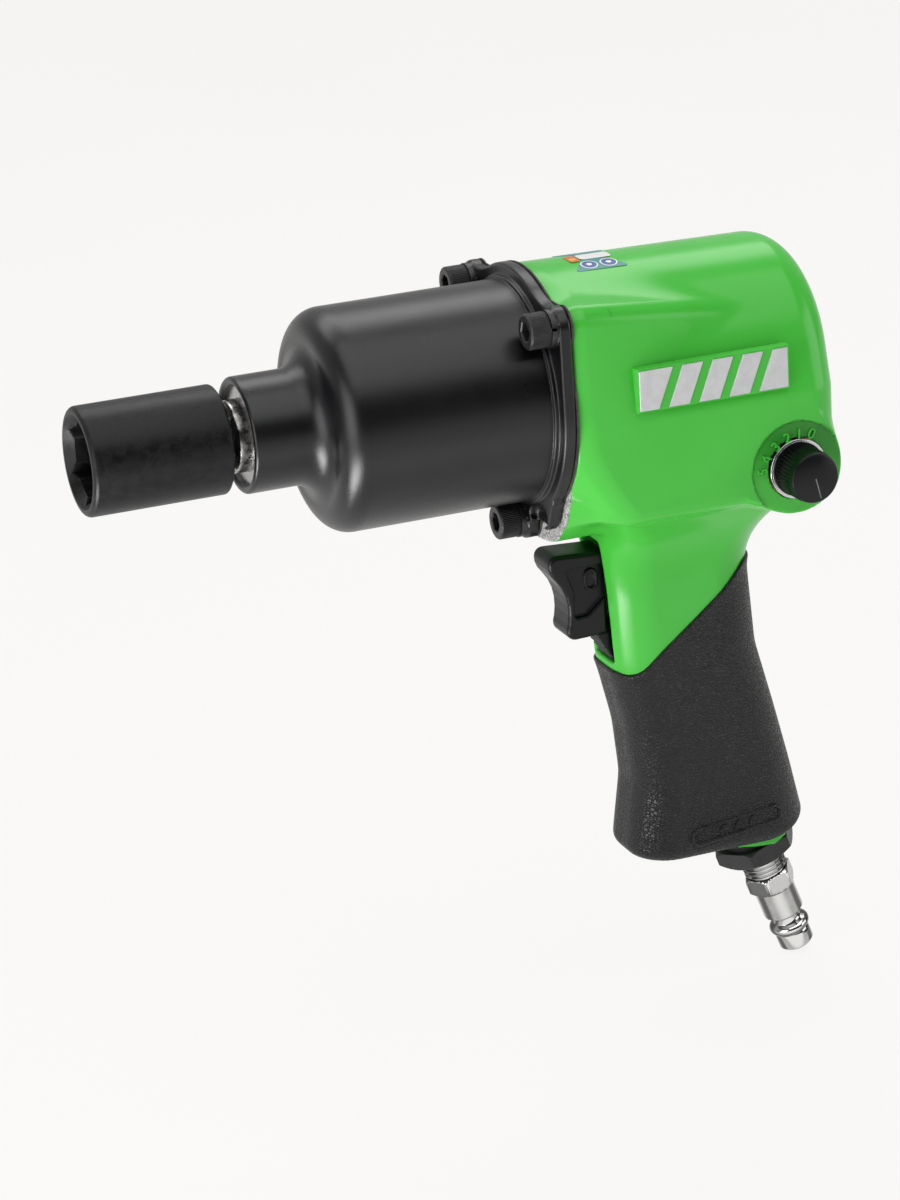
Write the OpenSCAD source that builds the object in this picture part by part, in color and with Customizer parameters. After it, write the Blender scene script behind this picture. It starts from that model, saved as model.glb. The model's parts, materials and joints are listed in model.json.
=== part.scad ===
/* [Drive] */
// Across flats of the square drive
square_af = 12.7; // [12.6:0.05:12.8]
// Radius of the anvil's round shank
shank_r = 10; // [9:0.1:10.4]
// Outside radius of the impact socket
socket_r = 15; // [14:0.1:16]
// Length of the impact socket
socket_len = 39; // [36:0.5:45]
// Across flats of the hexagon in the socket
socket_af = 21; // [17:0.5:22]

/* [Hammer case] */
// Outside radius of the nose
nose_r = 16; // [15:0.1:17]
// Outside radius of the case barrel
case_r = 30.9; // [30:0.1:32]
// Radius of the round part of the screw flange
flange_r = 35.1; // [34:0.1:36]
// Radius of the hammer cavity inside the case
cavity_r = 27.5; // [27:0.1:28]
// Radius of the circle through the three case screws
screw_pcd_r = 37.4; // [36.5:0.1:38]
// Direction of an upper screw, above horizontal
screw_angle = 40.4; // [36:0.2:44]

/* [Motor] */
// Radius of the motor bore in the housing
motor_bore_r = 29; // [28.5:0.1:29.5]
// Radius of the rotor
rotor_r = 19.5; // [18:0.1:19.6]
// Number of rotor vanes
vane_count = 6; // [5:1:6]
// Length of the rotor
rotor_len = 33; // [30:0.5:33]

/* [Housing] */
// Radius of the housing's round top behind the flange
top_front_r = 34.3; // [34:0.1:35]
// Radius of the housing's round top at its rear
top_rear_r = 33; // [32:0.1:34]
// Half of the width across the flat sides
side_y = 35.2; // [34.5:0.1:36]
// Furthest point of the rounded rear end
rear_x = 164.3; // [162:0.1:166]
// Height of the regulator valve's axis
valve_z = -24.9; // [-26:0.1:-24]
// Distance of the regulator valve's axis behind the nose
valve_x = 149.8; // [149:0.1:151]

/* [Handle] */
// Half of the width of the rubber grip
grip_y = 16; // [15:0.1:17]
// Height of the grip's bottom edge
grip_bottom_z = -144; // [-146:0.5:-142]
// Lean of the air inlet's axis from vertical
inlet_tilt = 20.3; // [18:0.1:22]
// Across flats of the inlet bushing's hexagon
bushing_af = 22; // [21:0.5:24]

/* [Trigger] */
// Travel of the trigger into the handle
trigger_travel = 6; // [4:0.5:6]
// Half of the trigger's width
trigger_y = 6; // [5:0.1:6.2]

/* [Hidden] */
$fn = 64;
EPS = 0.01;
RUN_GAP = 0.05;
HULL_FN = 32;

// Places along the drive axis, measured rearward from the nose's front face.
socket_rear_x = -5.4;
square_tip_x = -17.5;
ring_x = -12;
shank_front_x = -4;
bushing_front_x = 1.8;
cavity_front_x = 26;
shoulder_x = 20.6;
barrel_rear_x = 80;
flange_front_x = 81;
flange_rear_x = 84.6;
gasket_t = 0.5;
housing_front_x = flange_rear_x + gasket_t;
hammer_gap = 0.8;
hammer_len = 17;
front_hammer_x = 34;
rear_hammer_x = front_hammer_x + hammer_len + hammer_gap;
cage_front_x = 28.6;
cage_rear_x = rear_hammer_x + hammer_len + hammer_gap;
cage_plate_t = 9.8;
pilot_len = 5;
end_plate_t = 10;
bearing_w = 8;
rotor_x = flange_rear_x + end_plate_t;
rear_plate_x = rotor_x + rotor_len;
motor_end_x = rear_plate_x + end_plate_t;

// Hammer mechanism.
cage_r = 26.9;
strut_in_r = 25.2;
strut_half_angle = 18;
hammer_r = 24.4;
hammer_bore_r = 16;
jaw_r = 14.5;
jaw_half_angle = 12;
lobe_r = 14;
lobe_half_angle = 20;
lobe_offset = 45;
pin_r = 2.8;
pin_pcd_r = 20.75;
hammer_rock = 4.5;
anvil_core_r = 10.2;

// Motor.
liner_r = motor_bore_r - RUN_GAP;
liner_bore_r = 23;
liner_shift = liner_bore_r - rotor_r - RUN_GAP;
vane_t = 2;
vane_root_r = 9.6;
vane_slot_r = 9.4;
dowel_r = 1.5;
dowel_z = 24.5;
front_journal_r = 6;
rear_journal_r = 5;
drive_hex_af = 9.5;

// Screws.
screw_r = 3;
screw_head_r = 5;
screw_head_h = 6;
washer_t = 1.6;
screw_len = 20;
ear_r = 5.8;
ear_foot_r = 30;
ear_foot_y = 13;
screw_dirs = [screw_angle, 180 - screw_angle, 270];

// Housing and handle.
chin_y = 17.6;
chin_z = -42.6;
chin_rear_x = 99;
boss_r = 12.8;
dial_pocket_r = 13.6;
dial_floor_y = 34.6;
badge_y = 36.6;
slot_y = trigger_y + 0.3;
sleeve_t = 2.6;
inlet_x = 153.14;
inlet_z = -158.69;
inlet_bore_r = 9.5;
inlet_boss_z = 13.2;
seat_z = 78;
seat_t = 5;
stem_r = 2;
disc_r = 7.4;
screen_z = 24.1;
pin_z = -58;
exhaust_way_r = 2.2;
silencer_x = 115.6;
silencer_len = 13;
silencer_y = 8;
valve_bore_r = 8.6;
spool_r = 6.5;

// A point on an arc's outline: centre, radius, first and last direction, number of steps.
function arc(c, r, a0, a1, n = 8) =
  [for (i = [0 : n]) c + r * [cos(a0 + (a1 - a0) * i / n), sin(a0 + (a1 - a0) * i / n)]];

// Stands children on the drive axis: their X becomes Y, their Y becomes Z, their Z becomes X.
module along_x(x = 0) {
  translate([x, 0, 0]) rotate([90, 0, 90]) children();
}

// Stands children on a cross axis that points to the left side.
module to_left(x, z, y = 0) {
  translate([x, y, z]) rotate([90, 0, 0]) children();
}

// Stands children on a cross axis that points to the right side.
module to_right(x, z, y = 0) {
  translate([x, y, z]) rotate([-90, 0, 0]) children();
}

// Places children on the inlet axis: their Z runs up the handle.
module on_inlet(z = 0) {
  translate([inlet_x, 0, inlet_z]) rotate([0, -inlet_tilt, 0]) translate([0, 0, z]) children();
}

// A plate that is symmetric about the centre plane, from a side outline.
module side_slab(half_y) {
  translate([0, half_y, 0]) rotate([90, 0, 0]) linear_extrude(2 * half_y) children();
}

// A ring about the local Z axis.
module ring(r_out, r_in, h) {
  difference() {
    cylinder(r = r_out, h = h);
    translate([0, 0, -EPS]) cylinder(r = r_in, h = h + 2 * EPS);
  }
}

// A ring of round section.
module round_ring(r_mid, r_wire) {
  rotate_extrude() translate([r_mid, 0]) circle(r = r_wire, $fn = 24);
}

// A hexagonal bar about the local Z axis.
module hex_bar(af, h) {
  cylinder(r = af / sqrt(3), h = h, $fn = 6);
}

// The three case screws' places.
module at_screws() {
  for (a = screw_dirs)
    rotate([0, 0, a]) translate([screw_pcd_r, 0, 0]) children();
}

// Outline of the case flange: a disc with three ears.
module flange_outline() {
  circle(r = flange_r);
  for (a = screw_dirs) rotate(a) {
    translate([screw_pcd_r, 0]) circle(r = ear_r);
    polygon([
      [ear_foot_r, -ear_foot_y], [screw_pcd_r + 1.4, -ear_r + 0.2],
      [screw_pcd_r + 1.4, ear_r - 0.2], [ear_foot_r, ear_foot_y]
    ]);
  }
}

// ---- Drive end ----

module impact_socket() {
  color([0.1, 0.1, 0.11]) difference() {
    along_x(socket_rear_x - socket_len) rotate_extrude() polygon(concat(
      [[0, 0]],
      [[socket_r - 1.6, 0]],
      arc([socket_r - 1.6, 1.6], 1.6, -90, 0, 4),
      arc([socket_r - 1, socket_len - 1], 1, 0, 90, 4),
      [[0, socket_len]]
    ));
    // Hexagon for the nut, with a round lead-in at its mouth.
    along_x(socket_rear_x - socket_len - EPS) rotate([0, 0, 30]) hex_bar(socket_af, 20);
    along_x(socket_rear_x - socket_len - EPS) cylinder(r1 = 12.9, r2 = 11.2, h = 2.4);
    along_x(socket_rear_x - socket_len + 19.9) cylinder(r = 8, h = 5);
    // Square for the drive, as deep as the anvil's square.
    along_x(socket_rear_x - 15) linear_extrude(16) square(square_af + 2 * RUN_GAP, center = true);
  }
}

module anvil() {
  color([0.75, 0.75, 0.74]) difference() {
    union() {
      along_x(square_tip_x) linear_extrude(shank_front_x - square_tip_x + 1)
        square(square_af, center = true);
      // Shank, its front edge chamfered down to the square.
      along_x(shank_front_x) cylinder(r1 = square_af / 2 + 2.4, r2 = shank_r, h = 1.4);
      along_x(shank_front_x + 1.4) cylinder(r = shank_r, h = cavity_front_x - shank_front_x - 1.4);
      along_x(cavity_front_x) cylinder(r = anvil_core_r, h = rear_hammer_x + hammer_len - cavity_front_x);
      along_x(cavity_front_x + 1.1) cylinder(r = 13, h = 1.3);
      along_x(rear_hammer_x + hammer_len - 1) cylinder(r = 7, h = pilot_len);
      anvil_lobe(front_hammer_x + 0.4, lobe_offset);
      anvil_lobe(rear_hammer_x + 0.4, lobe_offset + 180);
    }
    along_x(ring_x - 1.1) ring(square_af, 4.4, 2.2);
  }
}

// One striking lobe on the anvil.
module anvil_lobe(x, direction) {
  along_x(x) rotate_extrude(angle = 2 * lobe_half_angle, start = direction - lobe_half_angle)
    translate([anvil_core_r - 2, 0]) square([lobe_r - anvil_core_r + 2, hammer_len - 0.8]);
}

module socket_retaining_ring() {
  color([0.6, 0.6, 0.6]) along_x(ring_x) intersection() {
    round_ring(5.6, 0.7);
    // The ring's gap.
    rotate([0, 0, 8]) rotate_extrude(angle = 344) translate([4, -1]) square([3, 2]);
  }
}

module retaining_ring_seal() {
  color([0.1, 0.1, 0.1]) along_x(ring_x - 0.8) ring(4.85, 4.45, 1.6);
}

module anvil_bushing() {
  color([0.66, 0.64, 0.6]) along_x(bushing_front_x)
    ring(13.5, shank_r + RUN_GAP, cavity_front_x - bushing_front_x);
}

module anvil_thrust_washer() {
  color([0.5, 0.5, 0.52]) along_x(cavity_front_x) ring(16, anvil_core_r + 0.1, 1);
}

// ---- Hammer case ----

// Outside profile of the case as [radius, distance] points.
function case_profile() = concat(
  [[0, 0], [nose_r - 1, 0]],
  arc([nose_r - 1, 1], 1, -90, 0, 4),
  arc([nose_r + 6.6, 14], 6.6, 180, 90, 8),
  arc([case_r - 7.6, shoulder_x + 7.6], 7.6, -90, 0, 10),
  [[case_r, barrel_rear_x - 1], [case_r + 0.9, barrel_rear_x], [case_r + 0.9, flange_rear_x], [0, flange_rear_x]]
);

module hammer_case() {
  color([0.09, 0.09, 0.1]) difference() {
    union() {
      along_x() rotate_extrude() polygon(case_profile());
      along_x(flange_front_x) linear_extrude(flange_rear_x - flange_front_x) flange_outline();
    }
    along_x(-EPS) cylinder(r = 13.5, h = cavity_front_x + 2 * EPS);
    along_x(cavity_front_x) cylinder(r = cavity_r, h = flange_rear_x);
    along_x(flange_front_x - EPS) at_screws() cylinder(r = screw_r + 0.3, h = 8);
  }
}

module case_screws() {
  color([0.12, 0.12, 0.13])
    along_x(flange_front_x - washer_t - screw_head_h) at_screws() difference() {
      union() {
        cylinder(r = screw_head_r, h = screw_head_h);
        cylinder(r = screw_r, h = screw_head_h + screw_len);
      }
      translate([0, 0, -EPS]) hex_bar(5, 3.2);
    }
}

module case_lock_washers() {
  color([0.25, 0.25, 0.25]) along_x(flange_front_x - washer_t) at_screws() difference() {
    ring(screw_head_r + 0.2, screw_r + 0.1, washer_t);
    // The split.
    rotate([0, 0, 30]) translate([screw_r - 0.5, -0.4, -EPS]) cube([4, 0.8, washer_t + 2 * EPS]);
  }
}

module case_gasket() {
  color([0.16, 0.15, 0.14]) along_x(flange_rear_x) difference() {
    linear_extrude(gasket_t) flange_outline();
    translate([0, 0, -EPS]) cylinder(r = motor_bore_r, h = gasket_t + 2 * EPS);
    at_screws() translate([0, 0, -EPS]) cylinder(r = screw_r + 0.3, h = gasket_t + 2 * EPS);
  }
}

// ---- Hammer mechanism ----

// A hammer pin's place: the front hammer hangs on the upper one, the rear hammer on the lower one.
module at_pin(side) {
  translate([0, side * pin_pcd_r, 0]) children();
}

module hammer_cage() {
  color([0.35, 0.35, 0.36]) difference() {
    union() {
      along_x(cage_front_x) cylinder(r = cage_r, h = front_hammer_x - 0.6 - cage_front_x);
      along_x(cage_rear_x) cylinder(r = cage_r, h = cage_plate_t);
      for (side = [90, 270])
        along_x(cage_front_x + 1)
          rotate_extrude(angle = 2 * strut_half_angle, start = side - strut_half_angle)
            translate([strut_in_r, 0]) square([cage_r - strut_in_r, cage_rear_x - cage_front_x]);
    }
    along_x(cage_front_x - EPS) cylinder(r = anvil_core_r + RUN_GAP, h = 8);
    along_x(cage_rear_x - EPS) cylinder(r = 7 + RUN_GAP, h = pilot_len);
    along_x(cage_rear_x - EPS) hex_bar(drive_hex_af + 0.06, cage_plate_t + 2 * EPS);
    along_x(cage_front_x - EPS) for (side = [-1, 1]) at_pin(side) cylinder(r = pin_r, h = 52);
  }
}

module hammer_pins() {
  color([0.8, 0.8, 0.8]) along_x(cage_front_x) for (side = [-1, 1])
    at_pin(side) cylinder(r = pin_r, h = cage_rear_x - cage_front_x + 6);
}

// A ring hammer with two inward jaws, a pivot hole at one pin and a long slot at the other.
module ring_hammer(x, side) {
  slot_half = 2 * pin_pcd_r * sin(hammer_rock) + 0.3;
  along_x(x) difference() {
    union() {
      ring(hammer_r, hammer_bore_r, hammer_len);
      for (a = [0, 180])
        rotate_extrude(angle = 2 * jaw_half_angle, start = a - jaw_half_angle)
          translate([jaw_r, 0]) square([hammer_bore_r - jaw_r + 1, hammer_len]);
    }
    at_pin(side) translate([0, 0, -EPS]) cylinder(r = pin_r + RUN_GAP, h = hammer_len + 2 * EPS);
    at_pin(-side) translate([0, 0, -EPS]) {
      for (end = [-1, 1]) translate([end * slot_half, 0, 0]) cylinder(r = pin_r + 0.35, h = hammer_len + 1);
      translate([-slot_half, -pin_r - 0.35, 0]) cube([2 * slot_half, 2 * pin_r + 0.7, hammer_len + 1]);
    }
  }
}

module front_hammer() {
  color([0.45, 0.45, 0.46]) ring_hammer(front_hammer_x, 1);
}

module rear_hammer() {
  color([0.42, 0.42, 0.43]) ring_hammer(rear_hammer_x, -1);
}

// ---- Air motor ----

// A disc that closes one end of the motor: the bearing's pocket faces away from the rotor.
module end_plate(pocket_r, hole_r) {
  difference() {
    cylinder(r = liner_r, h = end_plate_t);
    translate([0, 0, -EPS]) cylinder(r = pocket_r, h = bearing_w + EPS);
    cylinder(r = hole_r, h = end_plate_t + EPS);
    translate([0, dowel_z, end_plate_t - 3]) cylinder(r = dowel_r + RUN_GAP, h = 4);
  }
}

module front_end_plate() {
  color([0.6, 0.6, 0.6]) along_x(flange_rear_x) end_plate(14, front_journal_r + 1.5);
}

module rear_end_plate() {
  color([0.6, 0.6, 0.6]) translate([motor_end_x, 0, 0]) mirror([1, 0, 0]) along_x() difference() {
    end_plate(13, rear_journal_r + 1.5);
    // Kidney ports that feed each side of the rotor.
    for (start = [-70, 210])
      rotate_extrude(angle = 40, start = start) translate([16, -EPS]) square([2.5, end_plate_t + 1]);
  }
}

// Ball bearing parts, for a bearing from bore radius to outside radius.
module bearing_outer(r_in, r_out) {
  ball_r = (r_out - r_in) * 0.3;
  difference() {
    ring(r_out, (r_in + r_out) / 2 + ball_r * 0.55, bearing_w);
    translate([0, 0, bearing_w / 2]) round_ring((r_in + r_out) / 2, ball_r + RUN_GAP);
  }
}

module bearing_inner(r_in, r_out) {
  ball_r = (r_out - r_in) * 0.3;
  difference() {
    ring((r_in + r_out) / 2 - ball_r * 0.55, r_in, bearing_w);
    translate([0, 0, bearing_w / 2]) round_ring((r_in + r_out) / 2, ball_r + RUN_GAP);
  }
}

module bearing_balls(r_in, r_out, count) {
  r_mid = (r_in + r_out) / 2;
  translate([0, 0, bearing_w / 2]) {
    for (i = [0 : count - 1]) rotate([0, 0, 360 * i / count]) translate([r_mid, 0, 0])
      sphere(r = (r_out - r_in) * 0.3, $fn = 24);
    // The cage that spaces the balls.
    translate([0, 0, -0.8]) ring(r_mid + 0.5, r_mid - 0.5, 1.6);
  }
}

module front_bearing_outer_ring() {
  color([0.8, 0.8, 0.82]) along_x(flange_rear_x) bearing_outer(front_journal_r, 14);
}

module front_bearing_inner_ring() {
  color([0.8, 0.8, 0.82]) along_x(flange_rear_x) bearing_inner(front_journal_r, 14);
}

module front_bearing_balls() {
  color([0.85, 0.85, 0.87]) along_x(flange_rear_x) bearing_balls(front_journal_r, 14, 8);
}

module rear_bearing_outer_ring() {
  color([0.8, 0.8, 0.82]) along_x(motor_end_x - bearing_w) bearing_outer(rear_journal_r, 13);
}

module rear_bearing_inner_ring() {
  color([0.8, 0.8, 0.82]) along_x(motor_end_x - bearing_w) bearing_inner(rear_journal_r, 13);
}

module rear_bearing_balls() {
  color([0.85, 0.85, 0.87]) along_x(motor_end_x - bearing_w) bearing_balls(rear_journal_r, 13, 8);
}

module cylinder_liner() {
  color([0.55, 0.56, 0.58]) difference() {
    along_x(rotor_x) cylinder(r = liner_r, h = rotor_len);
    along_x(rotor_x - EPS) translate([0, -liner_shift, 0]) cylinder(r = liner_bore_r, h = rotor_len + 1);
    along_x(rotor_x - EPS) translate([0, dowel_z, 0]) cylinder(r = dowel_r + RUN_GAP, h = rotor_len + 1);
    // Exhaust slots through the thin wall at the bottom.
    for (i = [0 : 3]) translate([rotor_x + 5 + 7 * i, -7, -30]) cube([3, 14, 10]);
  }
}

module cylinder_dowel() {
  color([0.8, 0.8, 0.8]) along_x(rotor_x - 2.8) translate([0, dowel_z, 0]) cylinder(r = dowel_r, h = rotor_len + 5.6);
}

module rotor() {
  color([0.7, 0.7, 0.7]) difference() {
    union() {
      along_x(rotor_x + RUN_GAP) cylinder(r = rotor_r, h = rotor_len - 2 * RUN_GAP);
      along_x(flange_rear_x + 0.2) cylinder(r = front_journal_r, h = end_plate_t);
      along_x(rear_plate_x - 1) cylinder(r = rear_journal_r, h = end_plate_t + 0.4);
      along_x(cage_rear_x + pilot_len + 0.4) hex_bar(drive_hex_af, flange_rear_x - cage_rear_x - pilot_len);
    }
    along_x(rotor_x) for (i = [0 : vane_count - 1]) rotate([0, 0, 360 * i / vane_count])
      translate([vane_slot_r, -vane_t / 2 - RUN_GAP, -1]) cube([20, vane_t + 2 * RUN_GAP, rotor_len + 2]);
  }
}

module rotor_vanes() {
  color([0.45, 0.3, 0.2]) along_x(rotor_x + 0.1) for (i = [0 : vane_count - 1])
    rotate([0, 0, 360 * i / vane_count]) translate([vane_root_r, -vane_t / 2, 0])
      cube([rotor_r - vane_root_r - 0.05, vane_t, rotor_len - 0.2]);
}

// ---- Housing ----

// Flat sides of the barrel, leaning in above the middle, with rounded lower corners.
module side_section() {
  low = -33;
  corner = 6;
  polygon(concat(
    [[-33, 8], [-side_y, -4]],
    arc([-side_y + corner, low + corner], corner, 180, 270, 5),
    arc([side_y - corner, low + corner], corner, 270, 360, 5),
    [[side_y, -4], [33, 8]]
  ));
}

// Half of the barrel's outline from behind the flange to its rounded rear end.
function end_outline(front_half, rear_half, corner) = concat(
  [[housing_front_x, 0], [housing_front_x, front_half]],
  arc([rear_x - corner, rear_half - corner], corner, 90, 0, 8),
  [[rear_x, 0]]
);

// Barrel: a tapered round body with flat sides, its rear edge rounded.
module barrel() {
  along_x() rotate_extrude()
    polygon([for (p = end_outline(top_front_r, top_rear_r, 9)) [p[1], p[0]]]);
  intersection() {
    along_x(housing_front_x) linear_extrude(rear_x - housing_front_x) side_section();
    translate([0, 0, -50]) linear_extrude(100) for (flip = [0, 1])
      mirror([0, flip]) polygon(end_outline(side_y + 1, side_y, 10));
    side_slab(50) for (flip = [0, 1])
      mirror([0, flip]) polygon(end_outline(side_y, side_y - 3, 12));
  }
}

// Levels of the handle's outside: [height, front, back].
GRIP_LEVELS = [
  [-46, 100.2, 147], [-84.6, 102.8, 150], [-105, 107.6, 155.4],
  [-122, 109.2, 159.6], [-140, 106.6, 163.6], [grip_bottom_z, 109.4, 160.6]
];
SLICE_T = 0.4;

// The handle's outside from one level to the next, drawn in by shrink.
module grip_body(shrink, first, last) {
  for (i = [first : last]) hull() for (level = [GRIP_LEVELS[i], GRIP_LEVELS[i + 1]])
    for (x = [level[1] + grip_y, level[2] - grip_y])
      translate([x, 0, level[0]]) cylinder(r = grip_y - shrink, h = SLICE_T, $fn = HULL_FN);
}

// Side outline of everything above the grip's slanting top edge.
module above_sleeve() {
  polygon([
    [90, -84.2], [102.8, -84.6], [106.8, -85.8], [109.8, -84.4], [114.7, -79.2], [127.4, -69.4],
    [138.6, -60.4], [143, -57], [175, -56.6], [175, -20], [90, -20]
  ]);
}

// Outside of the housing before any bore is cut.
module housing_outside() {
  barrel();
  // Flange face and the ribs behind the ears.
  along_x(housing_front_x) linear_extrude(5) flange_outline();
  along_x(housing_front_x) at_screws() cylinder(r = ear_r - 0.6, h = screw_len + 2);
  // Chin below the barrel, behind the lower screw.
  along_x(housing_front_x) linear_extrude(chin_rear_x - housing_front_x) polygon(concat(
    [[chin_y + 3, -30]],
    arc([chin_y - 4, chin_z + 4], 4, 0, -90, 5),
    arc([-chin_y + 4, chin_z + 4], 4, 270, 180, 5),
    [[-chin_y - 3, -30]]
  ));
  // Taper from the barrel down to the handle.
  hull() {
    translate([94, -27, -33]) cube([61, 54, 1]);
    for (x = [101 + grip_y, 146 - grip_y])
      translate([x, 0, -53]) cylinder(r = grip_y - 0.3, h = SLICE_T, $fn = HULL_FN);
  }
  // Handle: the bare upper part, and the core that the grip covers.
  intersection() {
    grip_body(0.3, 0, 0);
    side_slab(20) above_sleeve();
  }
  grip_body(sleeve_t, 0, 4);
  on_inlet(inlet_boss_z) cylinder(r = boss_r, h = 24);
  // Valve bosses on both sides.
  to_left(valve_x, valve_z, -30) cylinder(r = boss_r + 0.4, h = side_y - 30);
  to_right(valve_x, valve_z, 30) cylinder(r = boss_r + 0.4, h = side_y - 30);
}

module housing() {
  color([0.31, 0.73, 0.27]) difference() {
    housing_outside();
    along_x(housing_front_x - EPS) cylinder(r = motor_bore_r, h = motor_end_x - housing_front_x + EPS);
    along_x(housing_front_x - EPS) at_screws() cylinder(r = screw_r, h = screw_len - 2);
    // Bore for the regulator and reverse valves, with a shallow pocket on each side.
    to_left(valve_x, valve_z, 50) cylinder(r = valve_bore_r, h = 100);
    to_left(valve_x, valve_z, -dial_floor_y) cylinder(r = dial_pocket_r, h = 5);
    to_right(valve_x, valve_z, dial_floor_y) cylinder(r = dial_pocket_r, h = 5);
    // Ports from the valve into the motor.
    for (y = [-12, 12]) along_x(motor_end_x - 1) translate([y, -17.5, 0]) cylinder(r = 2.5, h = 14);
    // Inlet bore, throttle chamber and the gallery up to the valve.
    on_inlet(7) cylinder(r = boss_r + 0.1, h = inlet_boss_z - 7);
    on_inlet(12) cylinder(r = inlet_bore_r, h = seat_z + seat_t - 12);
    on_inlet(seat_z) for (x = [1.8, 6]) translate([x, 0, 0]) cylinder(r = 4.6, h = 36);
    on_inlet(seat_z + seat_t - 1) translate([1.8, -4.6, 0]) cube([4.2, 9.2, 32]);
    translate([118, 0, -62]) rotate([0, 42, 0]) cylinder(r = 4.2, h = 42);
    // Slot for the trigger and bore for its bushing.
    translate([90, -slot_y, -83]) cube([19.6, 2 * slot_y, 36.4]);
    translate([100, -slot_y, -83]) cube([14, 2 * slot_y, 11.5]);
    along_x(105) translate([0, pin_z, 0]) cylinder(r = 4.5, h = 8.05);
    along_x(105) translate([0, pin_z, 0]) cylinder(r = 2.7, h = 11);
    // Exhaust ways from the motor down to the open bottom of the handle.
    for (side = [-1, 1]) {
      translate([116.5, side * 10.2, -86]) cylinder(r = exhaust_way_r, h = 64);
      translate([120.5, side * 8.2, -126]) rotate([-side * 2.8, -5.6, 0])
        cylinder(r = exhaust_way_r, h = 42);
    }
    translate([silencer_x, -silencer_y, grip_bottom_z - 1]) cube([silencer_len, 2 * silencer_y, 21]);
  }
}

module side_badge() {
  color([0.8, 0.81, 0.8]) difference() {
    translate([102, -badge_y, -1.2]) cube([45.5, badge_y - side_y + 3.5, 12.3]);
    barrel();
    // Slanting grooves.
    for (i = [0 : 3]) translate([108 + 9 * i, -badge_y - 0.4, -2])
      rotate([0, 20, 0]) cube([3, 0.9, 16]);
  }
}

module top_label() {
  label_x = 97.7;
  label_len = 14.9;
  draft = (top_front_r - top_rear_r) / (rear_x - housing_front_x);
  r = top_front_r - draft * (label_x - housing_front_x);
  color([0.1, 0.42, 0.42]) along_x(label_x) rotate_extrude(angle = 32, start = 74)
    polygon([[r, 0], [r + 0.25, 0], [r + 0.25 - draft * label_len, label_len], [r - draft * label_len, label_len]]);
}

// ---- Regulator and reverse valves ----

module valve_sleeve() {
  color([0.72, 0.6, 0.3]) difference() {
    to_left(valve_x, valve_z, 33) ring(valve_bore_r, spool_r + RUN_GAP, 66);
    // Ports towards the gallery, the motor and the exhaust.
    translate([valve_x, -3, valve_z]) rotate([0, 222, 0]) cylinder(r = 3.6, h = 12);
    for (y = [-12, 12]) translate([valve_x, y, -17.5]) rotate([0, -90, 0]) cylinder(r = 2.4, h = 12);
  }
}

// A turning valve body with a flow groove and a seal groove.
module spool() {
  difference() {
    union() {
      cylinder(r = spool_r, h = 31.5);
      cylinder(r = 3, h = 38);
    }
    translate([2.5, -4, 3]) cube([6, 8, 14]);
    translate([0, 0, 26]) ring(9, spool_r - 1.5, 2);
  }
}

module regulator_spool() {
  color([0.72, 0.6, 0.3]) difference() {
    to_left(valve_x, valve_z, -0.8) spool();
    translate([valve_x, -20.5, valve_z]) cylinder(r = 1.55, h = 8);
  }
}

module reverse_spool() {
  color([0.72, 0.6, 0.3]) difference() {
    to_right(valve_x, valve_z, 0.8) spool();
    to_right(valve_x, valve_z, 32) cylinder(r = 1.25, h = 8);
  }
}

module valve_seal() {
  translate([0, 0, 26.1]) ring(spool_r - 0.02, spool_r - 1.45, 1.8);
}

module regulator_seal() {
  color([0.08, 0.08, 0.08]) to_left(valve_x, valve_z, -0.8) valve_seal();
}

module reverse_seal() {
  color([0.08, 0.08, 0.08]) to_right(valve_x, valve_z, 0.8) valve_seal();
}

module regulator_clip() {
  color([0.8, 0.8, 0.8]) to_left(valve_x, valve_z, -dial_floor_y) ring(8, 3.1, 1.2);
}

module reverse_clip() {
  color([0.8, 0.8, 0.8]) to_right(valve_x, valve_z, dial_floor_y) ring(8, 3.1, 1.2);
}

module regulator_knob() {
  teeth = 24;
  color([0.09, 0.09, 0.09]) to_left(valve_x, valve_z, -dial_floor_y - 1.4) difference() {
    cylinder(r = 7.3, h = 10);
    for (i = [0 : teeth - 1]) rotate([0, 0, 360 * i / teeth]) translate([7.5, 0, -EPS])
      cylinder(r = 0.45, h = 8.5, $fn = 16);
    translate([0, 0, -EPS]) cylinder(r = 3, h = 3.2);
    // Pointer line on the face.
    translate([-0.35, -6.6, 9.6]) cube([0.7, 6.6, 1]);
  }
}

module detent_ball() {
  color([0.85, 0.85, 0.85]) translate([valve_x, -20.5, valve_z + 4.9]) sphere(r = 1.5, $fn = 24);
}

// A coil spring about the local Z axis.
module coil(coil_r, wire_r, length, turns) {
  per_turn = 12;
  steps = turns * per_turn;
  rise = (length - 2 * wire_r) / steps;
  for (i = [0 : steps - 1]) hull() for (k = [i, i + 1])
    rotate([0, 0, 360 * k / per_turn]) translate([coil_r, 0, wire_r + rise * k]) sphere(r = wire_r, $fn = 6);
}

module detent_spring() {
  color([0.7, 0.7, 0.7]) translate([valve_x, -20.5, valve_z + 0.6]) coil(1.05, 0.25, 2.7, 3);
}

module reverse_lever() {
  color([0.09, 0.09, 0.09]) to_right(valve_x, valve_z, dial_floor_y + 1.4) difference() {
    union() {
      cylinder(r = 7.3, h = 6);
      translate([-2.5, 0, 0]) cube([5, 12, 6]);
      translate([0, 12, 0]) cylinder(r = 2.5, h = 6);
    }
    translate([0, 0, -EPS]) cylinder(r = 3, h = 3);
    cylinder(r = 1.5, h = 7);
    translate([0, 0, 4.4]) cylinder(r = 2.8, h = 3);
  }
}

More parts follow.
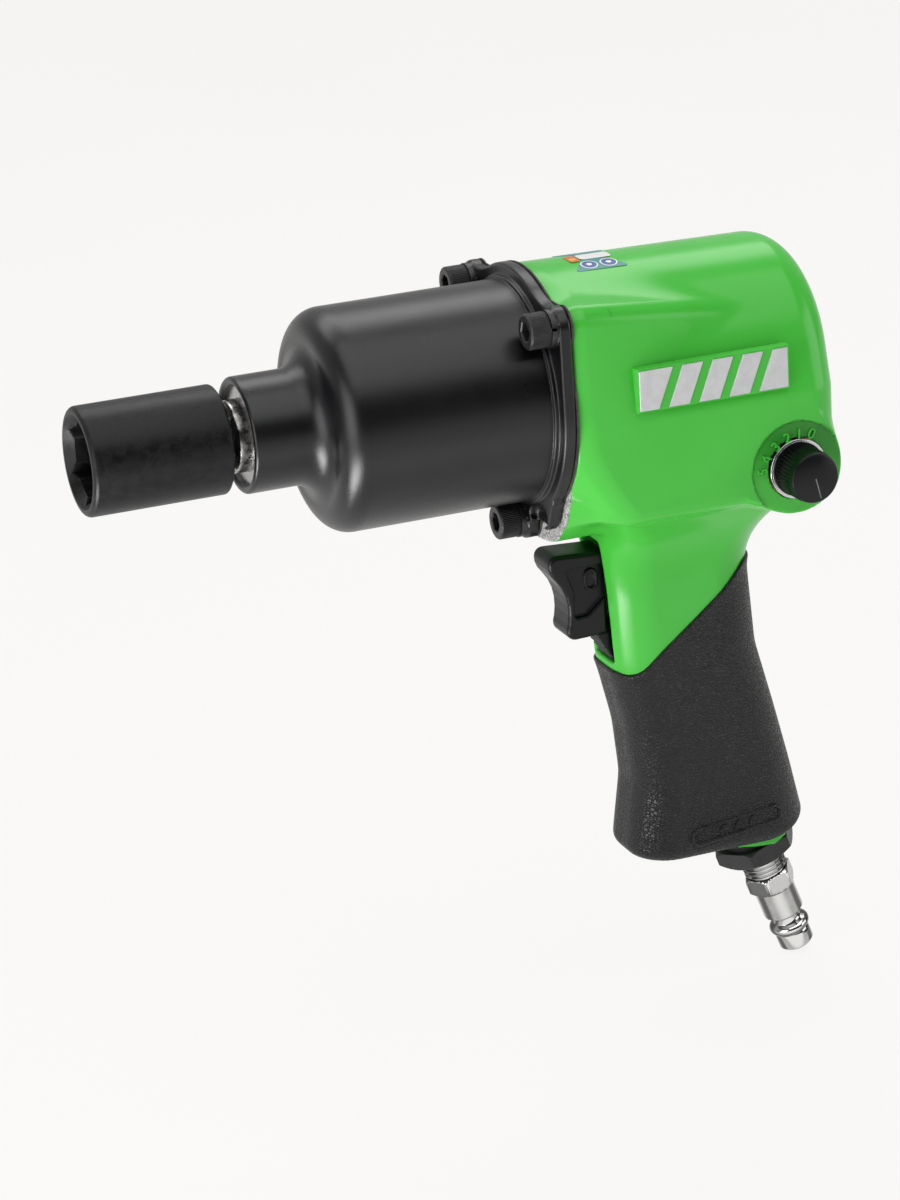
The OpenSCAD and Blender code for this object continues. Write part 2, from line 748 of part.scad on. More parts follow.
module lever_screw() {
  color([0.7, 0.7, 0.7]) to_right(valve_x, valve_z, 33) difference() {
    union() {
      cylinder(r = 1.2, h = 8);
      translate([0, 0, 7.8]) cylinder(r = 2.6, h = 1.5);
    }
    translate([-3, -0.3, 8.7]) cube([6, 0.6, 1]);
  }
}

// ---- Trigger and throttle ----

module trigger() {
  color([0.1, 0.1, 0.1]) difference() {
    union() {
      side_slab(trigger_y) polygon(concat(
        [[103.6, -49.4]],
        arc([89, -50.9], 2.6, 85, 190, 6),
        [[87.9, -54.2]],
        arc([80.6, -66.4], 11.6, 55, -12, 8),
        arc([94.6, -71.2], 3, 190, 265, 4),
        [[99.6, -73.6], [103.6, -73.6]]
      ));
      // Tail that runs down into the handle's slot.
      side_slab(trigger_y - 0.8) polygon([[99.4, -72.6], [102.4, -78], [106.8, -81.6], [106.8, -72.6]]);
    }
    // Shallow recess in each side.
    for (side = [-1, 1]) translate([95.6, side * trigger_y - 0.6, -65]) cube([5, 1.2, 12]);
    along_x(96) translate([0, pin_z, 0]) cylinder(r = 2.5, h = 12);
  }
}

module trigger_pin() {
  color([0.8, 0.8, 0.8]) along_x(96) translate([0, pin_z, 0]) {
    cylinder(r = 2.5, h = 15);
    cylinder(r = 1.2, h = 17.2);
  }
}

module trigger_bushing() {
  color([0.75, 0.62, 0.32]) along_x(109.7) translate([0, pin_z, 0]) difference() {
    cylinder(r = 4.45, h = 3.3);
    translate([0, 0, -EPS]) cylinder(r = 2.5 + RUN_GAP, h = 4);
    translate([0, 0, 0.9]) ring(6, 3.6, 1.5);
  }
}

module trigger_seal() {
  color([0.08, 0.08, 0.08]) along_x(110.7) translate([0, pin_z, 0]) ring(4.4, 3.65, 1.3);
}

module throttle_seat() {
  color([0.75, 0.62, 0.32]) on_inlet(seat_z) ring(inlet_bore_r, 5, seat_t);
}

// Tilting throttle valve: a disc under the seat with a long stem up to the trigger pin.
module throttle_valve() {
  color([0.75, 0.62, 0.32]) on_inlet(seat_z) {
    translate([0, 0, -3]) cylinder(r = disc_r, h = 2.95);
    translate([0, 0, -6]) cylinder(r = 3.4, h = 4);
    translate([0, 0, -1]) cylinder(r = stem_r, h = 32);
  }
}

module throttle_spring() {
  foot_z = screen_z + 1.1;
  color([0.75, 0.75, 0.75]) on_inlet(foot_z) coil(5, 0.6, seat_z - 3.7 - foot_z, 8);
}

// ---- Air inlet and exhaust ----

module inlet_bushing() {
  color([0.09, 0.09, 0.1]) on_inlet() difference() {
    union() {
      intersection() {
        translate([0, 0, 7.2]) hex_bar(bushing_af, 6);
        translate([0, 0, 7.2]) cylinder(r1 = bushing_af / 2, r2 = bushing_af / 2 + 6, h = 6);
      }
      translate([0, 0, 13.1]) cylinder(r = inlet_bore_r - RUN_GAP, h = 14);
    }
    translate([0, 0, 7]) cylinder(r = 6.6, h = 10);
    translate([0, 0, 14]) cylinder(r = 5.4, h = 14);
    translate([0, 0, 24]) cylinder(r = 7.6, h = 4);
  }
}

module inlet_screen() {
  color([0.7, 0.7, 0.65]) on_inlet(screen_z) difference() {
    union() {
      cylinder(r = 7.5, h = 1);
      cylinder(r1 = 4.2, r2 = 3.4, h = 10);
    }
    translate([0, 0, -EPS]) cylinder(r1 = 3.6, r2 = 2.8, h = 9.4);
    for (a = [0 : 60 : 300], z = [3, 6]) rotate([0, 0, a]) translate([0, 0, z]) rotate([0, 90, 0])
      cylinder(r = 0.7, h = 9);
  }
}

module air_plug() {
  color([0.82, 0.82, 0.83]) on_inlet() difference() {
    union() {
      translate([0, 0, -0.4]) cylinder(r = 6.55, h = 17);
      translate([0, 0, -5.8]) hex_bar(13, 5.6);
      rotate_extrude() polygon(concat(
        [[0, -27.3], [4.4, -27.3], [5.2, -26.4], [5.2, -22.2]],
        arc([4.8, -19.8], 1.2, -90, 90, 6),
        [[4, -18.2], [4, -16], [6, -15], [6, -5.7], [0, -5.7]]
      ));
    }
    translate([0, 0, -28]) cylinder(r = 3.6, h = 46);
  }
}

module exhaust_silencer() {
  color([0.75, 0.74, 0.7]) translate([silencer_x + 0.3, 0.3 - silencer_y, grip_bottom_z + 3])
    cube([silencer_len - 0.6, 2 * silencer_y - 0.6, 13]);
}

module exhaust_cover() {
  color([0.1, 0.1, 0.1]) difference() {
    translate([silencer_x + 0.1, 0.1 - silencer_y, grip_bottom_z])
      cube([silencer_len - 0.2, 2 * silencer_y - 0.2, 2.4]);
    for (i = [0 : 3]) translate([silencer_x + 1.2 + 2.9 * i, -6, grip_bottom_z - 1]) cube([1.8, 12, 5]);
  }
}

module grip_sleeve() {
  color([0.07, 0.07, 0.07]) difference() {
    grip_body(0, 0, 4);
    grip_body(sleeve_t - 0.1, 0, 4);
    side_slab(20) above_sleeve();
    // Clearance around the inlet boss and its bushing.
    on_inlet(7) cylinder(r = boss_r + 0.15, h = 32);
  }
}

impact_socket();
anvil();
socket_retaining_ring();
retaining_ring_seal();
anvil_bushing();
anvil_thrust_washer();
hammer_case();
case_screws();
case_lock_washers();
case_gasket();
hammer_cage();
hammer_pins();
front_hammer();
rear_hammer();
front_end_plate();
front_bearing_outer_ring();
front_bearing_inner_ring();
front_bearing_balls();
cylinder_liner();
cylinder_dowel();
rotor();
rotor_vanes();
rear_end_plate();
rear_bearing_outer_ring();
rear_bearing_inner_ring();
rear_bearing_balls();
housing();
side_badge();
top_label();
valve_sleeve();
regulator_spool();
regulator_seal();
regulator_clip();
regulator_knob();
detent_ball();
detent_spring();
reverse_spool();
reverse_seal();
reverse_clip();
reverse_lever();
lever_screw();
trigger();
trigger_pin();
trigger_bushing();
trigger_seal();
throttle_seat();
throttle_valve();
throttle_spring();
inlet_bushing();
inlet_screen();
air_plug();
exhaust_silencer();
exhaust_cover();
grip_sleeve();
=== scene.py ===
import json
import math

import bpy
import numpy as np
from mathutils import Matrix, Vector


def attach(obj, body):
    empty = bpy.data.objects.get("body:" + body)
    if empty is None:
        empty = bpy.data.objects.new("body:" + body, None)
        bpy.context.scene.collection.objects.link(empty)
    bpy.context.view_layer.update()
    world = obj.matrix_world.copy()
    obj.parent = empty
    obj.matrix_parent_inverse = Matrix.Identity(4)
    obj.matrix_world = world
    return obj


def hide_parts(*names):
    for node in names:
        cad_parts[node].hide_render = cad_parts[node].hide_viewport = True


# Pneumatic impact wrench: outside shapes, finishes, studio and camera round the CAD assembly.
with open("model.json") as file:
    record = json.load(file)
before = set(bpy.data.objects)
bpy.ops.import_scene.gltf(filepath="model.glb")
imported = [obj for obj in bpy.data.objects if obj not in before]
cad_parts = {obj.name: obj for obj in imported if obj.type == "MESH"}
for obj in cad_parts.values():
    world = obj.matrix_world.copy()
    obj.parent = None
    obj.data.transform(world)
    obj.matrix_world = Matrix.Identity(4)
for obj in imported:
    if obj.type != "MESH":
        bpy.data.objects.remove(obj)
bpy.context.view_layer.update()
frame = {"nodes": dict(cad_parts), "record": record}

# Lengths in this script are millimetres in the row frame until a mesh is made.
MM = 0.001
# Hammer case: radii of nose and barrel, start of the shoulder, flange from and to.
NOSE_R = 16.0
CASE_R = 30.9
SHOULDER_X = 20.6
FLANGE_X = (81.0, 84.6)
# Screws: radius and directions of their circle, radius of the ears round them.
SCREW_PCD_R = 37.4
SCREW_DIRS = (40.4, 139.6, 270.0)
EAR_R = 5.8
EAR_UP = math.sin(math.radians(SCREW_DIRS[0]))
EAR_SIDE = math.cos(math.radians(SCREW_DIRS[0]))
# Housing from and to, its half width, top radius at the front, and how much smaller it is behind.
HOUSING_X = (85.1, 164.3)
SIDE_Y = 35.2
TOP_R = 34.3
TOP_TAPER = 1.3
# Axis of the regulator and reverse valves, radius and depth of the pocket round each.
VALVE = (149.8, -24.9)
DIAL_R = 13.6
DIAL_Y = 34.5
# Face of the air inlet as (x, z), and how far its axis leans.
INLET = (153.14, -158.69)
INLET_TILT = math.radians(20.3)
GRIP_BOTTOM = -144.0
GRIP_Y = 16.0
# Directions round a turned shape.
TURN = np.radians(np.arange(0, 360, 2))

# Signed distances: union and intersection.
either, both = np.minimum, np.maximum


# ---- Signed distances: negative inside ----

def join(a, b, r):
    """Union with a round fillet of radius r."""
    return np.maximum(r, np.minimum(a, b)) - np.hypot(np.maximum(r - a, 0), np.maximum(r - b, 0))


def meet(a, b, r):
    """Intersection with a round edge of radius r."""
    return -join(-a, -b, r)


def cut(a, b, r):
    """a with b taken away, the edge rounded by r."""
    return -join(-a, b, r)


def ease(a, b, k):
    """Union that swells softly over a width of k."""
    h = np.maximum(k - np.abs(a - b), 0) / k
    return np.minimum(a, b) - h * h * k / 4


def outline(u, v, points):
    """Distance to a closed polygon."""
    best = np.full(u.shape, 1e9)
    inside = np.zeros(u.shape, bool)
    for (x0, y0), (x1, y1) in zip(points, points[1:] + points[:1]):
        ex, ey = x1 - x0, y1 - y0
        wx, wy = u - x0, v - y0
        t = np.clip((wx * ex + wy * ey) / (ex * ex + ey * ey), 0, 1)
        best = np.minimum(best, (wx - ex * t) ** 2 + (wy - ey * t) ** 2)
        crosses = (y0 > v) != (y1 > v)
        if ey:
            inside ^= crosses & (u < ex * (v - y0) / ey + x0)
    return np.where(inside, -1, 1) * np.sqrt(best)


def capsule(u, v, a, b, r):
    """Distance to a round-ended bar from a to b."""
    ex, ey = b[0] - a[0], b[1] - a[1]
    t = np.clip(((u - a[0]) * ex + (v - a[1]) * ey) / (ex * ex + ey * ey), 0, 1)
    return np.hypot(u - a[0] - ex * t, v - a[1] - ey * t) - r


def slab(value, low, high):
    """Distance to the space between two parallel planes."""
    return both(low - value, value - high)


def bar(u, v, a, a_r, b, b_r):
    """Distance to the hull of two circles; places and radii may vary from point to point."""
    ex, ey = b[0] - a[0], b[1] - a[1]
    length = np.hypot(ex, ey)
    ex, ey = ex / length, ey / length
    taper = np.clip((a_r - b_r) / length, -0.99, 0.99)
    lean = np.sqrt(1 - taper * taper)
    along = (u - a[0]) * ex + (v - a[1]) * ey
    across = np.abs((u - a[0]) * ey - (v - a[1]) * ex)
    at_a = np.hypot(across, along) - a_r
    at_b = np.hypot(across, along - length) - b_r
    between = lean * across + taper * along - a_r
    where = lean * along - taper * across
    return np.where(where < 0, at_a, np.where(where > lean * length, at_b, between))


def box(u, v, r):
    """Distance to the quadrant u < 0, v < 0 with its corner rounded by r."""
    u, v = u + r, v + r
    return np.hypot(both(u, 0), both(v, 0)) + either(both(u, v), 0) - r


def curve(stations, values, blur):
    """A smooth function through given stations, corners softened over blur."""
    fine = np.arange(stations[0] - 12, stations[-1] + 12, 0.25)
    raw = np.interp(fine, stations, values)
    reach = np.arange(-3 * blur, 3 * blur + 0.25, 0.25)
    weight = np.exp(-0.5 * (reach / blur) ** 2)
    pad = len(reach) // 2
    soft = np.convolve(np.pad(raw, pad, mode="edge"), weight / weight.sum(), mode="valid")
    return lambda s: np.interp(s, fine, soft[:len(fine)])


def flange_outline(y, z):
    """Case flange: a disc with three ears, seen along the drive axis."""
    ay = np.abs(y)
    shape = np.hypot(y, z) - 35.1
    out, across = ay * EAR_SIDE + z * EAR_UP, np.abs(z * EAR_SIDE - ay * EAR_UP)
    ear = np.hypot(out - SCREW_PCD_R, across) - EAR_R
    # Each ear's foot slopes back to the disc at about 40 degrees.
    foot = both(0.6435 * (out - 30) + 0.7653 * (across - 13), slab(out, 28, 38.8))
    shape = join(shape, either(ear, foot), 2.5)
    # Below each upper ear the edge runs straight down the side.
    shape = either(shape, bar(ay, z, (SCREW_PCD_R * EAR_SIDE, SCREW_PCD_R * EAR_UP), EAR_R, (23.1, 0), 12))
    # The lower ear stands on a broad foot.
    ear = np.hypot(y, z + SCREW_PCD_R) - EAR_R
    foot = meet(0.9 * ay - 0.436 * z - 32.9, -36.2 - z, 2.5)
    foot = both(foot, (ay + z + 3.5) * 0.707)
    return join(shape, join(ear, foot, 2.0), 2.0)


def at_screws(y, z, r):
    """Three cylinders of radius r on the screw circle."""
    holes = []
    for a in np.radians(SCREW_DIRS):
        holes.append(np.hypot(y - SCREW_PCD_R * math.cos(a), z - SCREW_PCD_R * math.sin(a)) - r)
    return either.reduce(holes)


def from_valve(x, z):
    """Distance from the axis of the valves."""
    return np.hypot(x - VALVE[0], z - VALVE[1])


def top_radius(x):
    """Radius of the housing's round top, smaller towards the rear."""
    return TOP_R - TOP_TAPER * (x - HOUSING_X[0]) / (HOUSING_X[1] - HOUSING_X[0])


def on_inlet(x, z):
    """Position across and along the inlet axis, measured up the handle."""
    c, s = math.cos(INLET_TILT), math.sin(INLET_TILT)
    dx, dz = x - INLET[0], z - INLET[1]
    return dx * c + dz * s, dz * c - dx * s


# ---- Shapes of the castings and mouldings ----

def case_shape(x, y, z):
    """Hammer case: nose, shoulder, barrel and flange."""
    r = np.hypot(y, z)
    nose = both(meet(r - NOSE_R, -x, 1.0), x - 60)
    barrel = meet(r - CASE_R, SHOULDER_X - x, 7.6)
    body = join(nose, barrel, 6.6)
    body = either(body, meet(r - CASE_R - 0.9, 79.6 - x, 0.45))
    flange = meet(flange_outline(y, z), slab(x, *FLANGE_X), 0.9)
    body = join(body, flange, 0.5)
    seats = both(at_screws(y, z, 5.4), FLANGE_X[0] - 0.25 - x)
    body = either(body, both(seats, x - 83))
    body = both(body, x - FLANGE_X[1])
    # Scooped pocket beside the lower ear, open to the front.
    pocket = meet(capsule(y, z, (-9.8, -34.2), (-16.2, -32.6), 2.9), x - 83.6, 1.0)
    body = cut(body, both(pocket, 80 - x), 0.5)
    # Bores.
    mouth = meet(r - 13.5 - both(0.8 - x, 0), x - 30, 0.1)
    body = cut(body, either(mouth, both(r - 27.5, 26 - x)), 0.3)
    return both(body, -at_screws(y, z, 3.3))


# Handle and neck at a few heights: front and rear, half width, corner radius.
HANDLE_Z = [-146, -140, -122, -105, -84.6, -60, -55, -50, -46, -42, -38, -34, -30, -20]
handle_front = curve(HANDLE_Z, [106.3, 106.6, 109.2, 107.6, 102.8, 101.2, 100.8, 100.5, 100, 98.2,
                                96, 93.5, 91, 88], 1.6)
handle_rear = curve(HANDLE_Z, [164.8, 163.6, 159.6, 155.4, 150, 148, 148.2, 149.2, 150.4, 151.8,
                               153.6, 155.6, 158, 160], 1.6)
handle_half = curve(HANDLE_Z, [16, 16, 16, 16, 16, 16.3, 16.9, 18.4, 20.6, 23.6, 27.4, 31, 33, 33], 1.6)
handle_corner = curve(HANDLE_Z, [16, 16, 16, 16, 16, 16, 15.8, 15, 14, 12.6, 11, 9.4, 8, 8], 1.6)
# Height of the rubber sleeve's upper edge along the handle.
sleeve_edge = curve([88, 102.8, 106.8, 109.8, 114.7, 127.4, 138.6, 143, 170],
                    [-84.2, -84.6, -85.8, -84.4, -79.2, -69.4, -60.4, -57, -56.6], 0.9)


def handle_plan(x, y, z):
    """Handle and neck: an oblong at every height, its front corners a little tighter than the rear."""
    front, rear = handle_front(z) + 0.7, handle_rear(z)
    half, corner = handle_half(z), handle_corner(z)
    middle = (front + rear) / 2
    corner = np.where(x < middle, either(corner, 12.8), corner)
    return box(np.abs(x - middle) - (rear - front) / 2, np.abs(y) - half, corner)


def barrel_section(x, y, z):
    """Round top, nearly flat sides, and a rib behind each upper ear that sinks in rearward."""
    ay = np.abs(y)
    top_r = top_radius(x)
    fade = np.clip(1 - (x - HOUSING_X[0]) / 54, 0, 1)
    fade = fade * fade * (3 - 2 * fade) * 0.35 + fade * np.where(y > 0, 0.35, 0.65)
    rib_r = 5.3 + 0.5 * fade
    out = top_r - 0.5 + 9.4 * fade - rib_r
    rib = (out * EAR_SIDE, out * EAR_UP)
    disc = np.hypot(ay, z) - top_r
    ridge = bar(ay, z, rib, rib_r, (12 * EAR_SIDE, 12 * EAR_UP), top_r - 13.3)
    top = ease(disc, ridge, 0.8 + 6 * fade)
    waist = (23.2, -5.0)
    low = both(box(ay - SIDE_Y, -34 - z, 4.5), z + 16)
    flat = either(bar(ay, z, rib, rib_r, waist, 12), bar(ay, z, (0, 0), top_r, waist, 12))
    flat = either(flat, capsule(ay, z, waist, (23.2, -22), 12))
    return either(either(top, flat), low)


def housing_shape(x, y, z):
    """Green body: barrel, valve bosses, chin, neck, handle core and inlet boss."""
    ay, r = np.abs(y), np.hypot(y, z)
    front = x - HOUSING_X[0]
    body = meet(barrel_section(x, y, z), x - HOUSING_X[1], 10)
    # The sides narrow to the flange's outline at the front.
    body = meet(body, (flange_outline(y, z) + 0.3 - 0.9 * front) / 1.35, 3)
    valve_r = from_valve(x, z)
    boss = meet(valve_r - 13.2, ay - SIDE_Y, 1.4)
    body = join(body, both(boss, 20 - ay), 5)
    body = both(body, ay - SIDE_Y)
    chin = meet(0.9 * ay - 0.436 * z - 33.4, r - 43.4, 3)
    chin = both(meet(chin, x - 100, 3), (ay + z + 2.5) * 0.707)
    body = join(body, chin, 6)
    body = meet(body, -front, 0.7)
    covered = z < sleeve_edge(x) - 1.6
    neck = handle_plan(x, y, z) + np.where(covered, 2.65, 0.55)
    neck = both(neck, z + 26) * 0.9
    body = join(body, neck, 2.2)
    body = both(body, GRIP_BOTTOM + 0.9 - z)
    across, along = on_inlet(x, z)
    inlet_r = np.hypot(across, y)
    body = either(body, meet(inlet_r - 12.8, slab(along, 13.2, 37), 0.5))
    body = both(body, -both(inlet_r - 12.9, along - 13.2))
    # Shallow pocket round each valve, and the trigger's slot.
    body = cut(body, both(valve_r - DIAL_R, DIAL_Y - ay), 0.35)
    slot = meet(slab(y, -6.3, 6.3), slab(z, -83, -46.6), 0.6)
    body = cut(body, both(slot, x - 110.1), 1.0)
    pin_r = np.hypot(y, z + 58)
    tail_room = both(slab(x, 100, 114.8), slab(z, -83, -69))
    rooms = [
        both(r - 29, x - 137.6),                                                  # motor
        valve_r - 8.6,
        both(at_screws(y, z, 3.0), x - 97),
        both(inlet_r - 9.5, along - 83),
        both(capsule(across, y, (1.8, 0), (6, 0), 4.6), slab(along, 78, 113)),    # throttle
        both(pin_r - 4.5, slab(x, 105, 113)),
        both(pin_r - 3.2, slab(x, 105, 118)),
        both(slab(y, -6.3, 6.3), tail_room),
        both(both(slab(x, 115.6, 128.6), ay - 8), z + 124),                       # silencer
    ]
    return both(body, -either.reduce(rooms))


def sleeve_shape(x, y, z):
    """Rubber sleeve, 2.5 mm thick, round the handle."""
    outside = handle_plan(x, y, z)
    below = (sleeve_edge(x) - z) * 0.78
    outside = outside - 0.3 * np.exp(-np.square(below / 2.2))
    body = meet(outside, GRIP_BOTTOM - z, 4)
    body = meet(body, -below, 0.8)
    body = cut(body, outside + 2.5, 0.35)
    across, along = on_inlet(x, z)
    inlet = both(np.hypot(across, y) - 12.95, 7 - along)
    body = both(body, GRIP_BOTTOM - z)
    body = both(body, -both(inlet, z + 120))
    # The bottom edge is square to the inlet on the rear half.
    return meet(body, 15.0 - along, 1.6)


def arc(centre, r, start, end, steps=8):
    """Points of an arc, start and end in degrees."""
    angles = np.radians(np.linspace(start, end, steps + 1))
    return [(centre[0] + r * math.cos(a), centre[1] + r * math.sin(a)) for a in angles]


# Side views of the trigger, its tail and the hollow in its side, as (x, z) points.
TRIGGER = ([(103.6, -49.4)] + arc((89, -51.2), 2.6, 85, 175, 6)
           + [(86.5, -52.6), (87.2, -54.4), (88.7, -56.4), (90.2, -58.6), (91.3, -61.2), (91.9, -64),
              (92.0, -67), (91.7, -69.6), (91.3, -71.2)]
           + arc((93.9, -71.8), 2.6, 190, 268, 4) + [(99.6, -74.2), (103.6, -73.6)])
TRIGGER_TAIL = [(98.8, -71), (102.2, -77.6), (104.9, -82.2), (107.6, -82.2), (106.8, -71)]
TRIGGER_PANEL = [(92.4, -53.8), (102.6, -53.8), (102.6, -62.4), (97.4, -66.8), (94.4, -67), (94.6, -60)]


def trigger_shape(x, y, z):
    """Trigger with a hollow panel, a moulded oval, a ridged tail and the hole for its pin."""
    ay = np.abs(y)
    body = meet(outline(x, z, TRIGGER), ay - 6, 1.3)
    panel = meet(outline(x, z, TRIGGER_PANEL) - 0.8, 4.4 - ay, 0.3)
    body = cut(body, panel, 0.6)
    oval = np.abs(capsule(x, z, (99.3, -56.2), (99.3, -58.6), 1.6)) - 0.45
    body = either(body, meet(both(oval, outline(x, z, TRIGGER)), ay - 5.1, 0.2))
    ridges = 0.16 * np.cos((z + 0.5 * x) * 5.2)
    tail = meet(outline(x, z, TRIGGER_TAIL) + ridges, ay - 5.2, 0.5)
    body = join(body, tail, 0.8)
    pin = both(np.hypot(y, z + 58) - 2.5, 96 - x)
    return both(body, -pin)


def anvil_shape(x, y, z):
    """Square, shank, collar and the two jaws that the hammers strike."""
    r = np.hypot(y, z)
    square = meet(np.abs(y) - 6.35, np.abs(z) - 6.35, 1.1)
    square = meet(square, slab(x, -17.5, 0), 0.8)
    shank = meet(r - 10, slab(x, -2.4, 26), 0.5)
    body = join(square, shank, 2.4)
    body = either(body, both(r - 10.2, slab(x, 20, 68.8)))
    body = either(body, meet(r - 13, slab(x, 27.1, 28.4), 0.3))
    body = either(body, meet(r - 7, slab(x, 60, 72.8), 0.4))
    angle = np.degrees(np.arctan2(z, y))
    for middle, start in ((45, 34.4), (-135, 52.2)):
        wide = (np.abs((angle - middle + 180) % 360 - 180) - 20) * np.pi / 180 * r
        body = either(body, meet(meet(r - 14, wide, 0.4), slab(x, start, start + 16.2), 0.3))
    groove = both(slab(x, -13.1, -10.9), 4.4 - r)
    return cut(body, groove, 0.15)


# ---- Meshes ----

def polygonise(shape, low, high, step):
    """Corner points and quads of the zero surface, one point per crossed cell."""
    low = np.array(low, float)
    counts = [int(math.ceil((high[i] - low[i]) / step)) + 1 for i in range(3)]
    axes = [low[i] + step * np.arange(counts[i]) for i in range(3)]
    values = np.empty(counts, np.float32)
    for i in range(0, counts[0], 12):
        values[i:i + 12] = shape(*np.meshgrid(axes[0][i:i + 12], axes[1], axes[2], indexing="ij"))
    inside = values < 0
    shown = [n - 1 for n in counts]
    total = np.zeros(shown, np.int8)
    for i, j, k in np.ndindex(2, 2, 2):
        total += inside[i:i + shown[0], j:j + shown[1], k:k + shown[2]]
    crossed = (total > 0) & (total < 8)
    number = np.full(shown, -1, np.int64)
    cells = np.argwhere(crossed)
    number[crossed] = np.arange(len(cells))
    points, hits = np.zeros((len(cells), 3)), np.zeros(len(cells))
    for axis in range(3):
        u, v = (axis + 1) % 3, (axis + 2) % 3
        for du, dv in np.ndindex(2, 2):
            start = cells.copy()
            start[:, u] += du
            start[:, v] += dv
            end = start.copy()
            end[:, axis] += 1
            a, b = values[tuple(start.T)], values[tuple(end.T)]
            crosses = (a < 0) != (b < 0)
            t = np.where(crosses, a / np.where(crosses, a - b, 1), 0)
            place = start.astype(float)
            place[:, axis] += t
            points += np.where(crosses[:, None], place, 0)
            hits += crosses
    points = low + step * points / hits[:, None]
    quads = []
    for axis in range(3):
        u, v = (axis + 1) % 3, (axis + 2) % 3
        near = np.take(inside, range(counts[axis] - 1), axis)
        far = np.take(inside, range(1, counts[axis]), axis)
        edges = np.argwhere(near != far)
        fits = (edges[:, u] > 0) & (edges[:, v] > 0)
        fits &= (edges[:, u] < counts[u] - 1) & (edges[:, v] < counts[v] - 1)
        edges = edges[fits]
        ring = []
        for du, dv in ((0, 0), (1, 0), (1, 1), (0, 1)):
            cell = edges.copy()
            cell[:, u] -= du
            cell[:, v] -= dv
            ring.append(number[tuple(cell.T)])
        ring = np.stack(ring, 1)
        solid_first = near[tuple(edges.T)]
        quads.append(np.where(solid_first[:, None], ring, ring[:, ::-1]))
    return points, np.concatenate(quads)


def slope(shape, points, h=0.02):
    """Gradient of a shape at many points."""
    columns = []
    for axis in range(3):
        step = np.zeros(3)
        step[axis] = h
        columns.append((shape(*(points + step).T) - shape(*(points - step).T)) / (2 * h))
    return np.stack(columns, 1)


def settle(shape, points, step, rounds):
    """Moves points onto the zero surface."""
    for _ in range(rounds):
        gradient = slope(shape, points)
        size = np.maximum((gradient ** 2).sum(1), 0.1)
        move = gradient * (shape(*points.T) / size)[:, None]
        length = np.linalg.norm(move, axis=1, keepdims=True)
        points = points - move * np.minimum(1, 0.6 * step / np.maximum(length, 1e-9))
    return points


def even_out(points, quads, share):
    """Moves each point part of the way to the middle of its faces."""
    middles = points[quads].mean(1)
    total, hits = np.zeros_like(points), np.zeros(len(points))
    for corner in range(4):
        np.add.at(total, quads[:, corner], middles)
        np.add.at(hits, quads[:, corner], 1)
    return points + share * (total / np.maximum(hits, 1)[:, None] - points)


def add_mesh(name, points, faces):
    """A smooth-shaded object from points in millimetres."""
    mesh = bpy.data.meshes.new(name)
    mesh.from_pydata((np.asarray(points) * MM).tolist(), [], [list(map(int, f)) for f in faces])
    mesh.validate()
    obj = bpy.data.objects.new(name, mesh)
    bpy.context.scene.collection.objects.link(obj)
    mesh.shade_smooth()
    return obj


def solid(name, shape, low, high, step):
    """A piece from a signed distance, shaded with the distance's own normals."""
    points, quads = polygonise(shape, low, high, step)
    points = settle(shape, points, step, 2)
    for _ in range(2):
        points = settle(shape, even_out(points, quads, 0.6), step, 2)
    obj = add_mesh(name, points, quads)
    normals = slope(shape, points, 0.06)
    normals /= np.maximum(np.linalg.norm(normals, axis=1, keepdims=True), 1e-9)
    if len(obj.data.vertices) == len(normals):
        obj.data.normals_split_custom_set_from_vertices(normals.tolist())
    return obj


def basis(origin, x_to, y_to, z_to):
    """A placement from where local X, Y and Z point."""
    m = np.eye(4)
    m[:3, 0], m[:3, 1], m[:3, 2], m[:3, 3] = x_to, y_to, z_to, origin
    return m


def drive_axis(y=0.0, z=0.0, turn=0.0):
    """Local Z runs rearward along the drive axis."""
    c, s = math.cos(turn), math.sin(turn)
    return basis((0, y, z), (0, c, s), (0, -s, c), (1, 0, 0))


def left_of(point, y=0.0):
    """Local Z points to the tool's left side, local Y up."""
    return basis((point[0], y, point[1]), (1, 0, 0), (0, 0, 1), (0, -1, 0))


def inlet_axis():
    """Local Z runs up the inlet from its face."""
    c, s = math.cos(INLET_TILT), math.sin(INLET_TILT)
    return basis((INLET[0], 0, INLET[1]), (c, 0, s), (0, 1, 0), (-s, 0, c))


def bands(count, levels, closed=False):
    """Quads between neighbouring rings of count points; closed also joins the last ring to the first."""
    faces = []
    for level in range(levels if closed else levels - 1):
        a, b = level * count, (level + 1) % levels * count
        for i in range(count):
            j = (i + 1) % count
            faces.append([a + i, a + j, b + j, b + i])
    return faces


def spin(sections, loop=False):
    """Points and faces of a turned shape from (distance, radius) sections."""
    rings = []
    for t, r in sections:
        r = np.broadcast_to(r, TURN.shape)
        rings.append(np.stack([r * np.cos(TURN), r * np.sin(TURN), np.full(TURN.shape, t)], 1))
    n = len(TURN)
    faces = bands(n, len(rings), loop)
    if not loop:
        faces.append(list(range(n))[::-1])
        faces.append([(len(rings) - 1) * n + i for i in range(n)])
    return np.concatenate(rings), faces


def placed(points, place):
    return points @ place[:3, :3].T + place[:3, 3]


def tidy_normals(obj, angle=32):
    """Outward faces, smooth except at edges sharper than angle."""
    import bmesh
    work = bmesh.new()
    work.from_mesh(obj.data)
    bmesh.ops.remove_doubles(work, verts=work.verts, dist=1e-7)
    bmesh.ops.recalc_face_normals(work, faces=work.faces)
    work.to_mesh(obj.data)
    work.free()
    obj.data.shade_smooth()
    obj.data.set_sharp_from_angle(angle=math.radians(angle))
    return obj


